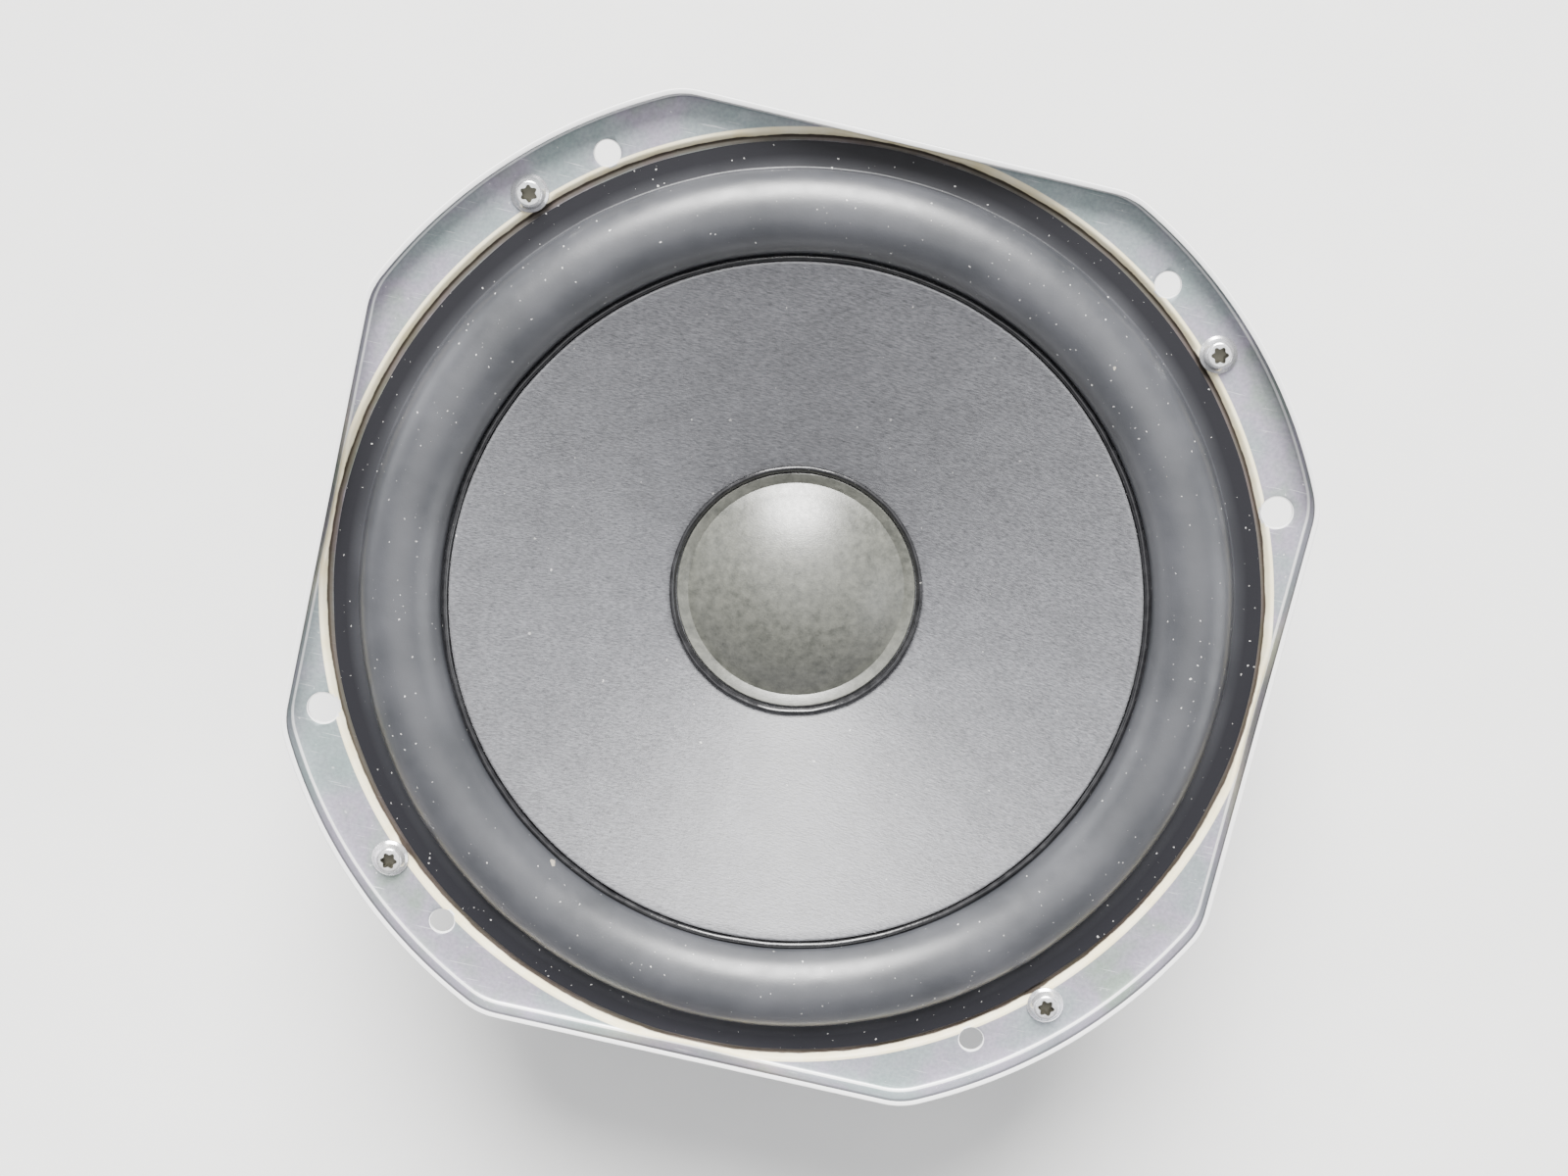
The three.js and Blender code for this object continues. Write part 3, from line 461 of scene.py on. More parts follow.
def step_tint_and_painted_light(tree, colour):
    """Painted cream highlight on the yellowed bend of the step, painted shade at its foot and on the lip's
    wall, and a painted highlight along the lip's foot; also returns the bend.
    """
    wander = arithmetic(tree, "MULTIPLY_ADD", grain(tree, 5.0, 3.0), 0.10, -0.05)
    from_foot = arithmetic(tree, "ADD", stored(tree, "from_foot"), wander)
    up_lip = stored(tree, "up_lip")
    past_top = ramp(tree, stored(tree, "from_top"), [(0.40, 0.0), (0.43, 1.0)])
    on_step = ramp(tree, up_lip, [(0.02, 1.0), (0.05, 0.0)])
    bend = times(tree, past_top, ramp(tree, from_foot, [(0.60, 0.0), (0.64, 1.0)]), on_step)
    # Painted brown shade at the foot of the step.
    foot_shade = times(tree, past_top, ramp(tree, from_foot, [
        (0.30, 0.0), (0.42, 0.8), (0.60, 0.95), (0.64, 0.0)]), on_step)
    # Painted cream highlight on the bend of the step: yellowed zinc and the light the bend catches.
    cream_highlight = ramp(tree, grain(tree, 6.0, 3.0), [(0.3, (0.88, 0.77, 0.48)), (0.7, (0.97, 0.90, 0.68))])
    # Painted shade on the inner wall of the lip.
    wall = ramp(tree, up_lip, [(0.16, 0.0), (0.30, 0.25), (0.70, 0.35), (0.80, 0.92)])
    # Painted highlight along the bend at the foot of the lip.
    foot = ramp(tree, up_lip, [(0.015, 0.0), (0.035, 1.0), (0.11, 1.0), (0.16, 0.0)])
    for share, tint in ((bend, cream_highlight), (foot_shade, (0.07, 0.05, 0.03)), (wall, (0.09, 0.09, 0.10)),
                        (foot, (0.97, 0.97, 0.96))):
        colour = layer(tree, share, colour, tint)
    return colour, bend


def zinc_finish(name, tones, roughness, metallic=0.9, tinted=False):
    """Plated steel with clouds of four tones; a tinted one also has the step's tint and the painted
    highlights and shade of the step and the lip.
    """
    material, tree, shader = new_finish(name, metallic=metallic)
    colour = ramp(tree, grain(tree, 30.0, 4.0, 0.6), list(zip((0.34, 0.45, 0.55, 0.66), tones)))
    crystals = ramp(tree, grain(tree, 0.9, 3.0), [(0.3, 0.78), (0.7, 1.0)])
    colour = layer(tree, 1.0, colour, crystals, "MULTIPLY")
    scratches = scratch_lines(tree)
    colour = layer(tree, scratches, colour, (0.72, 0.73, 0.75))
    colour = layer(tree, specks(tree, 1.7, 0.22), colour, (0.90, 0.89, 0.87))
    if tinted:
        colour, bend = step_tint_and_painted_light(tree, colour)
        # The bend loses its metal, so that its painted cream highlight shows.
        attach(tree, shader, Metallic=arithmetic(tree, "MULTIPLY_ADD", bend, -metallic, metallic))
    # Painted shade inside a screw's recess.
    colour = layer(tree, stored(tree, "recess_shade"), colour, (0.10, 0.095, 0.075))
    uneven = ramp(tree, grain(tree, 7.0, 4.0), [(0.3, roughness[0]), (0.7, roughness[1])])
    skin = relief(tree, grain(tree, 1.2, 3.0), 0.02, 0.5)
    skin = relief(tree, scratches, 0.01, 0.5, skin)
    attach(tree, shader, Base_Color=colour, Roughness=uneven, Normal=skin)
    return material


ZINC_TONES = ((0.29, 0.36, 0.36), (0.34, 0.38, 0.40), (0.40, 0.37, 0.45), (0.31, 0.37, 0.33))
BRIGHT_TONES = ((0.82, 0.84, 0.85), (0.88, 0.88, 0.90), (0.86, 0.86, 0.88), (0.92, 0.92, 0.90))
zinc_steel = zinc_finish("zinc_steel", ZINC_TONES, (0.40, 0.56), 0.45, True)
SHEARED_TONES = ((0.34, 0.34, 0.34), (0.72, 0.72, 0.72), (0.80, 0.80, 0.81), (0.48, 0.47, 0.45))
sheared_edge = zinc_finish("sheared_edge", SHEARED_TONES, (0.30, 0.50), 0.5)
bright_zinc = zinc_finish("bright_zinc", BRIGHT_TONES, (0.16, 0.30), 0.75)
PLATE_TONES = ((0.36, 0.35, 0.31), (0.41, 0.39, 0.34), (0.40, 0.40, 0.38), (0.35, 0.35, 0.33))
plated_iron = zinc_finish("plated_iron", PLATE_TONES, (0.30, 0.44))
print("plated finishes:", zinc_steel.name, sheared_edge.name, bright_zinc.name, plated_iron.name)

# %% [markdown]
# ## Finish: rubber, paper and glue
# The surround is butyl rubber with a satin skin, finely grained, with dust caught on it. The cone is
# felted paper dyed black: its fibres lie mostly one way, as the screen that the pulp settles on leaves
# them, and they shine a little. The cap is the same pulp, pressed smoother and left olive grey. The glue
# beads are nearly black and wet-looking. Each is a dark base with two or three scales of noise over it,
# and the small reliefs matter more than the colours.


# %% Rubber, paper and glue
def rubber_finish():
    material, tree, shader = new_finish("surround_rubber")
    bloom = ramp(tree, grain(tree, 22.0, 4.0), [
        (0.3, (0.036, 0.038, 0.043)), (0.7, (0.064, 0.066, 0.074))])
    landing = stored(tree, "landing")
    bloom = layer(tree, landing, bloom, (0.012, 0.012, 0.015))
    colour = layer(tree, specks(tree, 1.2, 0.36), bloom, (0.66, 0.65, 0.63))
    colour = layer(tree, specks(tree, 6.0, 0.05), colour, (0.42, 0.38, 0.31))
    satin = ramp(tree, grain(tree, 5.0, 4.0), [(0.3, 0.33), (0.7, 0.43)])
    shine = arithmetic(tree, "MULTIPLY_ADD", landing, -0.62, 0.85)
    skin = relief(tree, grain(tree, 0.45, 2.0), 0.03, 0.6)
    skin = relief(tree, grain(tree, 4.0, 2.0), 0.03, 0.3, skin)
    attach(tree, shader, Base_Color=colour, Roughness=satin, Specular_IOR_Level=shine, Normal=skin)
    return material


def cone_finish():
    material, tree, shader = new_finish("cone_paper", Sheen_Weight=0.3, Sheen_Roughness=0.5,
                                        Specular_IOR_Level=1.0)
    fibres = grain(tree, 1.6, 4.0, 0.65, (1.0, 5.0, 2.0), 18.0)
    mottle = grain(tree, 9.0, 4.0, 0.6)
    colour = ramp(tree, fibres, [(0.3, (0.045, 0.046, 0.052)), (0.7, (0.180, 0.182, 0.198))])
    shade = ramp(tree, mottle, [(0.3, 0.78), (0.7, 1.0)])
    colour = layer(tree, 1.0, colour, shade, "MULTIPLY")
    colour = layer(tree, specks(tree, 1.8, 0.12), colour, (0.55, 0.54, 0.52))
    satin = ramp(tree, fibres, [(0.3, 0.42), (0.7, 0.54)])
    skin = relief(tree, fibres, 0.12, 0.8)
    skin = relief(tree, grain(tree, 0.7, 3.0), 0.07, 0.8, skin)
    attach(tree, shader, Base_Color=colour, Roughness=satin, Normal=skin)
    return material


def cap_finish():
    material, tree, shader = new_finish("cap_fibre", Coat_Weight=0.7, Coat_Roughness=0.34,
                                        Specular_IOR_Level=0.9)
    pulp = grain(tree, 2.4, 5.0, 0.7)
    colour = ramp(tree, pulp, [(0.3, (0.050, 0.052, 0.044)), (0.7, (0.130, 0.132, 0.112))])
    colour = layer(tree, specks(tree, 2.0, 0.14), colour, (0.05, 0.05, 0.04))
    satin = ramp(tree, grain(tree, 1.0, 4.0), [(0.3, 0.30), (0.7, 0.46)])
    skin = relief(tree, pulp, 0.09, 0.7)
    skin = relief(tree, grain(tree, 0.8, 3.0, 0.6, (1.0, 3.0, 1.0), -25.0), 0.06, 0.8, skin)
    attach(tree, shader, Base_Color=colour, Roughness=satin, Normal=skin)
    return material


def glue_finish():
    material, tree, shader = new_finish("black_glue", Coat_Weight=0.4, Coat_Roughness=0.12)
    wet = grain(tree, 3.0, 3.0)
    colour = ramp(tree, wet, [(0.3, (0.006, 0.006, 0.007)), (0.7, (0.020, 0.020, 0.022))])
    colour = layer(tree, specks(tree, 1.2, 0.10), colour, (0.45, 0.44, 0.42))
    shine = ramp(tree, wet, [(0.3, 0.12), (0.7, 0.32)])
    attach(tree, shader, Base_Color=colour, Roughness=shine, Normal=relief(tree, wet, 0.18, 0.6))
    return material


surround_rubber = rubber_finish()
cone_paper = cone_finish()
cap_fibre = cap_finish()
black_glue = glue_finish()
print("soft finishes:", surround_rubber.name, cone_paper.name, cap_fibre.name, black_glue.name)

# %% [markdown]
# ## Finish: what the back shows
# From behind one sees sintered ferrite, foam, resin-dipped cloth, brown phenolic board, tinned blades and
# a copper braid, and through the windows the paper tape and the copper of the coil. The cloth's weave
# and the coil's turns are sine waves, because both are regular, and noise only breaks them a little;
# their valleys are darkened as painted shade.


# %% Waves for weaves and windings
def bands(tree, pitch, axis):
    """Even ridges across one axis, one each `pitch` millimetres."""
    place = step(tree, "ShaderNodeTexCoord").outputs["Object"]
    # A wave texture repeats each 0.314 of a unit at a scale of one.
    node = step(tree, "ShaderNodeTexWave", {"Vector": place, "Scale": 0.314 / (pitch * MM)},
                wave_type="BANDS", bands_direction=axis)
    return node.outputs["Fac"]


def simple_finish(name, size, dark, light, roughness, depth, metallic=0.0, pattern=None, **fixed):
    """A finish whose colour, gloss and relief follow one grain, and a regular pattern if it has one, with
    painted shade in the pattern's valleys.
    """
    material, tree, shader = new_finish(name, metallic=metallic, **fixed)
    base = grain(tree, size, 4.0, 0.6)
    colour = ramp(tree, base, [(0.3, dark), (0.7, light)])
    skin = relief(tree, base, depth, 0.6)
    if pattern:
        ridges = pattern(tree)
        # The pattern's valleys are darkened: painted shade between threads and turns.
        colour = layer(tree, 1.0, colour, ramp(tree, ridges, [(0.0, 0.45), (0.6, 1.0)]), "MULTIPLY")
        skin = relief(tree, ridges, depth * 2, 0.8, skin)
    colour = layer(tree, specks(tree, 3.0, 0.1), colour, light)
    gloss = ramp(tree, grain(tree, size * 3, 3.0), [(0.3, roughness[0]), (0.7, roughness[1])])
    attach(tree, shader, Base_Color=colour, Roughness=gloss, Normal=skin)
    return material


def weave(tree):
    return arithmetic(tree, "MAXIMUM", bands(tree, 0.7, "X"), bands(tree, 0.7, "Y"))


def turns(tree):
    return bands(tree, 0.42, "Z")


ferrite = simple_finish("ferrite", 1.0, (0.012, 0.012, 0.014), (0.038, 0.038, 0.042), (0.55, 0.75), 0.05,
                        Specular_IOR_Level=0.25)
gasket_foam = simple_finish("gasket_foam", 0.6, (0.010, 0.010, 0.011), (0.035, 0.035, 0.037),
                            (0.85, 0.97), 0.2)
spider_cloth = simple_finish("spider_cloth", 5.0, (0.30, 0.17, 0.055), (0.46, 0.28, 0.10), (0.6, 0.8), 0.06,
                             pattern=weave)
phenolic_board = simple_finish("phenolic_board", 3.0, (0.10, 0.045, 0.018), (0.19, 0.088, 0.036),
                               (0.35, 0.5), 0.03)
tinned_brass = simple_finish("tinned_brass", 1.5, (0.58, 0.54, 0.44), (0.74, 0.70, 0.60), (0.22, 0.38), 0.015,
                             metallic=1.0)
tinsel_braid = simple_finish("tinsel_braid", 0.8, (0.42, 0.22, 0.11), (0.66, 0.42, 0.25), (0.3, 0.5), 0.03,
                             metallic=0.8)
kraft_paper = simple_finish("kraft_paper", 4.0, (0.20, 0.12, 0.055), (0.31, 0.20, 0.10), (0.6, 0.8), 0.04)
former_foil = simple_finish("former_foil", 6.0, (0.38, 0.25, 0.09), (0.52, 0.37, 0.17), (0.25, 0.4), 0.01)
copper_wire = simple_finish("copper_wire", 2.0, (0.45, 0.17, 0.07), (0.66, 0.29, 0.13), (0.22, 0.36), 0.05,
                            metallic=0.9, pattern=turns)
floor_paint = simple_finish("floor_paint", 60.0, (0.82, 0.82, 0.81), (0.86, 0.86, 0.85), (0.6, 0.7), 0.1)
print("finishes in all:", len(bpy.data.materials))

# %% Floor
FLOOR_HALF = 15000.0
floor = make_piece("floor", [(x * FLOOR_HALF, y * FLOOR_HALF, -0.1) for x, y in
                             ((-1, -1), (1, -1), (1, 1), (-1, 1))], [(0, 1, 2, 3)], floor_paint)
print("floor is", 2 * FLOOR_HALF * MM, "m wide")

# %% [markdown]
# ## Sizes that the pieces share
# Most heights come from the boxes of the solid model, so a piece can't drift from the solid it stands
# for. The angle of the cone, the thickness of each sheet and the small steps between the pieces are
# written again.


# %% Shared sizes
def span(node):
    """Outer radius, lowest and highest point of a node, in millimetres."""
    low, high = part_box(node)
    return high.x / MM, low.z / MM, high.z / MM


FILM = 0.3
SHEET = 1.2
LIP_TOP = span("basket")[2]
FLANGE = LIP_TOP - 7.3
LEDGE = FLANGE - 1.8
FLOOR = span("basket")[1] + SHEET
CLOTH = span("former_collar")[2] - 10.0  # middle of the spider's cloth
SHELF = CLOTH - 0.6
CONE_SLOPE = math.tan(math.radians(25.4))
ALONG_CONE = math.hypot(1.0, CONE_SLOPE)
CONE_EDGE, _, CONE_TOP = span("cone")
NECK = span("former_collar")[0] + FILM


def cone_front(radius):
    return CONE_TOP - (CONE_EDGE - radius) * CONE_SLOPE


print("flange at", round(FLANGE, 3), "ledge at", round(LEDGE, 3), "shelf at", round(SHELF, 3))

# %% [markdown]
# ## Basket: the pressed sheet
# The basket is one disc of 1.2 mm steel, drawn in a press. Its flange is round with four flats, so the line
# of the upturned lip is arcs, straights and round corners. Inside it the sheet steps down to the
# ledge that carries the surround, and falls in a bowl to the motor. A pressing like this could be cut from
# solids, but the bends would stay sharp. Here each spoke of a fine polar grid follows its own
# section, from the lip to the floor and back under, so the bends flow and the wall closes on itself.


# %% Outline of the flange
LOBE, FLAT, CORNER = 126.2, span("basket")[0], 18.0
STEP_FOOT, STEP_TOP = 111.9, 113.9
BAND_IN = 108.0  # inner end of the band that holds the step
PITCH = 116.8  # radius of the circle of screws and holes
SCREWS = (45, 135, 225, 315)
PAD = 4.4  # radius of the flat pad under a screw
WALL_TOP, WALL_FOOT = 101.5, 74.0  # radii where the bowl's slanting wall begins and ends
WALL_HIGH = LEDGE - 5.0


def rim_radius(angle, inset):
    """Distance from the axis to the flange's outline, moved in by `inset`."""
    quarter = np.abs((angle + math.pi / 4) % (math.pi / 2) - math.pi / 4)
    across = FLAT - CORNER
    along = math.sqrt((LOBE - CORNER) ** 2 - across ** 2)
    ahead = across * np.cos(quarter) + along * np.sin(quarter)
    reach = ahead ** 2 - across ** 2 - along ** 2 + (CORNER - inset) ** 2
    corner = ahead + np.sqrt(np.maximum(reach, 0.0))
    straight = (FLAT - inset) / np.cos(quarter)
    on_flat = np.tan(quarter) <= along / (FLAT - inset)
    on_lobe = quarter >= math.atan2(along, across)
    return np.where(on_flat, straight, np.where(on_lobe, LOBE - inset, corner))


def from_step_top(radius, angle):
    """How far inside the top of the step a point is; a pad under each screw pushes the top inwards."""
    x, y = radius * np.cos(angle), radius * np.sin(angle)
    inside = STEP_TOP - radius
    for degrees in SCREWS:
        turn = math.radians(degrees)
        pad = np.hypot(x - PITCH * math.cos(turn), y - PITCH * math.sin(turn)) - PAD
        soft = np.clip(0.5 + 0.5 * (pad - inside) / 0.8, 0.0, 1.0)
        inside = pad * (1 - soft) + inside * soft - 0.4 * soft * (1 - soft)
    return inside


def flange_height(radius, angle):
    """Height of the front of the sheet between the ledge and the lip."""
    past, short = np.maximum(from_step_top(radius, angle), 0.0), np.maximum(radius - STEP_FOOT, 0.0)
    t = np.where(short > 0, past / np.maximum(past + short, 1e-6), 1.0)
    return FLANGE - (FLANGE - LEDGE) * t * t * (3 - 2 * t)


circle = np.radians([0.0, 22.0, 45.0])
print("lip at 0, 22 and 45 degrees:", rim_radius(circle, 0.0).round(1))

# %% Sections of the basket
SPOKES = 720
BEND = 1.0
angle = np.arange(SPOKES) * 2 * math.pi / SPOKES
lip_inside = rim_radius(angle, SHEET)
lip_top = LIP_TOP - 0.12 + ripple(angle, 0.06, 3)
band_end = lip_inside - BEND
band_foot = flange_height(band_end, angle)


def band_rows(fine, plain):
    """Radii from the lip in to the end of the band, close together over the step."""
    near = np.minimum(STEP_FOOT - 0.1, BAND_IN + 0.45 * (band_end - BAND_IN))
    far = np.minimum(STEP_TOP + 0.5, BAND_IN + 0.90 * (band_end - BAND_IN))
    rows = [band_end + (far - band_end) * k / plain for k in range(plain)]
    rows += [far + (near - far) * k / fine for k in range(fine)]
    return rows + [near, np.full_like(angle, BAND_IN)]


def lip_wall(radius_in, radius_out, side):
    """The lip's wall and the bend at its foot, from the top down."""
    top = lip_top - (0.15 if side == "in" else 0.2)
    centre = band_foot + BEND
    bend = BEND if side == "in" else BEND + SHEET
    rows = [(radius_in if side == "in" else radius_out, top)]
    for k in range(2):
        rows.append((rows[0][0], top + (centre - top) * (k + 1) / 3))
    for k in range(5):
        a = math.pi / 2 * k / 4
        rows.append((band_end + bend * math.cos(a), centre - bend * math.sin(a)))
    return rows


bowl_front = [(BAND_IN, LEDGE), (104.2, LEDGE, 1.8), (WALL_TOP, WALL_HIGH, 3.0), (WALL_FOOT, SHELF, 3.0),
              (63.5, SHELF, 2.0), (58.0, FLOOR, 2.5), (34.0, FLOOR)]
plain_back = offset_line(bowl_front, SHEET)
back_bends = [0.0, 0.6, 3.0, 4.2, 0.8, 3.7, 0.0]
bowl_back = [point + (bend,) for point, bend in zip(plain_back, back_bends)]
front_line = rounded(bowl_front, 3, closed=False)
back_line = rounded(bowl_back, 3, closed=False)
print("bowl sections:", len(front_line), "and", len(back_line), "points")


# %% The pressed sheet
def pressed_sheet():
    """The basket before it is punched: every spoke is one closed section."""
    rows = lip_wall(lip_inside, None, "in")
    for radius in band_rows(12, 5)[1:]:
        rows.append((radius, flange_height(radius, angle)))
    rows += [(r, z) for r, z in front_line[1:]]
    rows += [(r, z) for r, z in reversed(back_line)][:-1]
    for radius in reversed(band_rows(7, 3)[1:]):
        rows.append((radius, flange_height(radius, angle) - SHEET))
    rows += list(reversed(lip_wall(None, rim_radius(angle, 0.0), "out")))
    edge_in, edge_out = rim_radius(angle, SHEET - 0.2), rim_radius(angle, 0.2)
    rows += [(edge_out, lip_top), (edge_in, lip_top)]
    radius = np.array([np.broadcast_to(r, SPOKES) for r, _ in rows])
    height = np.array([np.broadcast_to(z, SPOKES) for _, z in rows])
    points = np.stack([radius * np.cos(angle), radius * np.sin(angle), height], axis=2).reshape(-1, 3)
    return make_piece("basket_sheet", points, grid_faces(len(rows), SPOKES, True), zinc_steel)


basket = pressed_sheet()
print("pressed sheet:", len(basket.data.polygons), "faces")

# %% [markdown]
# ## Basket: the punched holes
# Seven windows, ten holes in the flange, four rivet holes in the floor and the opening for the terminals
# are all punched straight through. A hole is the same tool at another place and size, so a geometry
# tree puts one flared punch on each point of a layout, scales it by the radius stored on that
# point, and takes them all from the sheet at once. The windows are one tool on seven points.
# The flare leaves the small bright rim that a punched and deburred hole has.


# %% Tools and layouts
def prism(name, outline, low, high):
    """An upright block with any outline."""
    count = len(outline)
    points = [(x, y, z) for z in (low, high) for x, y in outline]
    sides = [(i, (i + 1) % count, count + (i + 1) % count, count + i) for i in range(count)]
    caps = [tuple(reversed(range(count))), tuple(range(count, 2 * count))]
    tool = make_piece(name, points, sides + caps)
    tool.hide_render = True
    return tool


def layout(name, places):
    """Points that carry a turn and a size: (x, y, z, turn in degrees, size)."""
    points = make_piece(name, [p[:3] for p in places], [])
    store(points, "turn", [math.radians(p[3]) for p in places])
    store(points, "size", [p[4] for p in places])
    points.hide_render = True
    return points


def on_circle(radius, degrees, height=0.0):
    turn = math.radians(degrees)
    return (radius * math.cos(turn), radius * math.sin(turn), height)


def round_punch():
    """A punch of radius one millimetre, a little wider above and below the flange."""
    profile = [(0.0, -4.0), (1.12, -4.0), (1.12, -1.32), (1.0, -1.02), (1.0, -0.18), (1.12, 0.12),
               (1.12, 4.0), (0.0, 4.0)]
    tool = turned("round_punch", profile, columns=48)
    tool.hide_render = True
    return tool


def window_outline():
    """A window between two spokes 13 mm wide, from 79 to 96.5 mm out, with round corners."""
    arcs = []
    for radius, direction in ((96.5, -1), (79.0, 1)):
        reach = math.pi / 8 - math.asin(6.5 / radius)
        for k in range(13):
            turn = direction * reach * (1 - k / 6)
            corner = (3.0,) if k in (0, 12) else ()
            arcs.append((radius * math.cos(turn), radius * math.sin(turn)) + corner)
    return rounded(arcs, 5)


HOLES = [(a, 2.75) for a in SCREWS] + [(a, 3.0) for a in (55, 125, 235, 305)]
HOLES += [(a, 3.75) for a in (25, 205)]
hole_layout = layout("hole_layout", [on_circle(PITCH, a, FLANGE) + (0.0, r) for a, r in HOLES])
window_layout = layout("window_layout", [(0, 0, 0, a, 1.0) for a in (0, 45, 90, 135, 180, 225, 315)])
RIVET_CIRCLE, RIVET_HOLE = 45.0, 2.85
rivet_layout = layout("rivet_hole_layout", [on_circle(RIVET_CIRCLE, a, FLOOR) + (0.0, RIVET_HOLE)
                                            for a in SCREWS])
punch_tool = round_punch()
window_tool = prism("window_tool", window_outline(), SHELF - 2.2, LEDGE)
print("holes:", len(HOLES), "windows:", len(window_layout.data.vertices))


# %% The punching tree
def tools_on(tree, points_object, tool_object):
    """The tool, placed, turned and scaled on each point of a layout."""
    points = step(tree, "GeometryNodeObjectInfo", {"Object": points_object}, transform_space="ORIGINAL")
    tool = step(tree, "GeometryNodeObjectInfo", {"Object": tool_object}, transform_space="ORIGINAL")
    turn, size = (step(tree, "GeometryNodeInputNamedAttribute", {"Name": name}, data_type="FLOAT")
                  .outputs["Attribute"] for name in ("turn", "size"))
    scale = step(tree, "ShaderNodeCombineXYZ", {"X": size, "Y": size, "Z": 1.0})
    copies = step(tree, "GeometryNodeInstanceOnPoints", {
        "Points": points.outputs["Geometry"], "Instance": tool.outputs["Geometry"],
        "Rotation": upwards(tree, turn), "Scale": scale})
    return step(tree, "GeometryNodeRealizeInstances", {"Geometry": copies.outputs[0]}).outputs[0]


def punching_tree():
    tree, given = new_tree("punched_sheet", {
        "Hole layout": "Object", "Rivet layout": "Object", "Window layout": "Object",
        "Punch": "Object", "Window tool": "Object", "Finish": "Material"})
    sheet = given.outputs["Geometry"]
    for points, tool in (("Hole layout", "Punch"), ("Rivet layout", "Punch"),
                         ("Window layout", "Window tool")):
        tools = tools_on(tree, given.outputs[points], given.outputs[tool])
        cut = step(tree, "GeometryNodeMeshBoolean", {"Mesh 1": sheet, "Mesh 2": tools},
                   operation="DIFFERENCE", solver="MANIFOLD")
        sheet = cut.outputs["Mesh"]
    end_tree(tree, sheet, given.outputs["Finish"])
    return tree


BOARD_RIVETS, PIN_HOLE = (-14.0, 14.0), 1.75
PANEL_SLOPE = math.atan2(WALL_HIGH - SHELF, WALL_TOP - WALL_FOOT)
PANEL_OUT = (WALL_TOP + WALL_FOOT) / 2 + SHEET * math.sin(PANEL_SLOPE)
PANEL = (Matrix.Translation((0.0, -PANEL_OUT, (WALL_HIGH + SHELF) / 2 - SHEET * math.cos(PANEL_SLOPE)))
         @ Matrix.Rotation(math.pi - PANEL_SLOPE, 4, "X"))


def on_panel(piece):
    """Moves a shape made at the origin onto the terminal panel, in its mesh."""
    shift = Matrix.Scale(MM, 4) @ PANEL @ Matrix.Scale(1 / MM, 4)
    piece.data.transform(shift)
    return piece


def rectangle(width, height, radius):
    x, y = width / 2, height / 2
    return rounded([(-x, -y, radius), (x, -y, radius), (x, y, radius), (-x, y, radius)], 4)


def take_out(piece, tool):
    """Cuts one tool from a piece, for an opening that there is only one of."""
    modifier = piece.modifiers.new("opening", "BOOLEAN")
    modifier.operation = "DIFFERENCE"
    modifier.solver = "MANIFOLD"
    modifier.object = tool
    settle(piece)
    bpy.data.objects.remove(tool)


grow(basket, punching_tree(), Hole_layout=hole_layout, Rivet_layout=rivet_layout,
     Window_layout=window_layout, Punch=punch_tool, Window_tool=window_tool, Finish=zinc_steel)
settle(basket)
take_out(basket, on_panel(prism("panel_opening", rectangle(21.0, 7.0, 1.0), -5.0, 5.0)))
for x in BOARD_RIVETS:
    take_out(basket, on_panel(prism("panel_rivet_hole", ring_points(x, PIN_HOLE, 24), -5.0, 5.0)))
for tool in (hole_layout, window_layout, rivet_layout, punch_tool, window_tool):
    bpy.data.objects.remove(tool)
basket.data.set_sharp_from_angle(angle=math.radians(40))
print("punched sheet:", len(basket.data.polygons), "faces")

# %% [markdown]
# ## Basket: the yellowed step and the sheared edges
# The tint, the painted highlights and the painted shade of the step follow the section, so three
# distances are stored on each point, from the same formulas that shaped the sheet: from the top of the
# step, from its foot, and up the lip. The finish draws its lines from them, and they stay crisp between
# two points of the mesh. The top of the lip and the walls of the holes were cut after plating and are
# brighter; those faces take a second finish, chosen by where they are and how they face.


# %% Step tint and sheared edges
def paint_step(piece):
    """Stores how far each point of the front is from the step's top and foot, and up the lip."""
    x, y, z = points_of(piece)
    radius, turn = np.hypot(x, y), np.arctan2(y, x)
    front = (z > LEDGE - 0.3) & (radius > BAND_IN + 0.5)
    lip = np.where(radius < rim_radius(turn, SHEET / 2), (z - FLANGE) / (LIP_TOP - FLANGE), 0.0)
    tint_and_light_distances = {"from_top": 0.5 + from_step_top(radius, turn) / 6,
             "from_foot": 0.5 + (radius - STEP_FOOT) / 6, "up_lip": lip}
    for key, values in tint_and_light_distances.items():
        store(piece, key, np.where(front, values, 0.0).clip(0, 1))


def mark_sheared(piece):
    """Gives the lip's top and the punched walls the sheared finish."""
    piece.data.materials.append(sheared_edge)
    marked = 0
    for face in piece.data.polygons:
        middle, normal = face.center / MM, face.normal
        radius = math.hypot(middle.x, middle.y)
        lip = middle.z > LIP_TOP - 0.45 and radius > 112.0
        upright = abs(normal.z) < 0.05
        flared = radius > 112.5 and middle.z < FLANGE + 0.3 and 0.15 < abs(normal.z) < 0.9
        bore = upright and FLANGE - 1.3 < middle.z < FLANGE
        wall = upright and middle.z < FLANGE and radius < 100.0
        reach = 0.45 if flared else 0.2
        hole = (flared or bore) and any(
            math.dist(middle[:2], on_circle(PITCH, a)[:2]) < r + reach for a, r in HOLES)
        if lip or hole or wall:
            face.material_index = 1
            marked += 1
    return marked


paint_step(basket)
print("sheared faces:", mark_sheared(basket))
basket.name = "pressed_basket"
stand_in(basket, ["basket"], "frame")

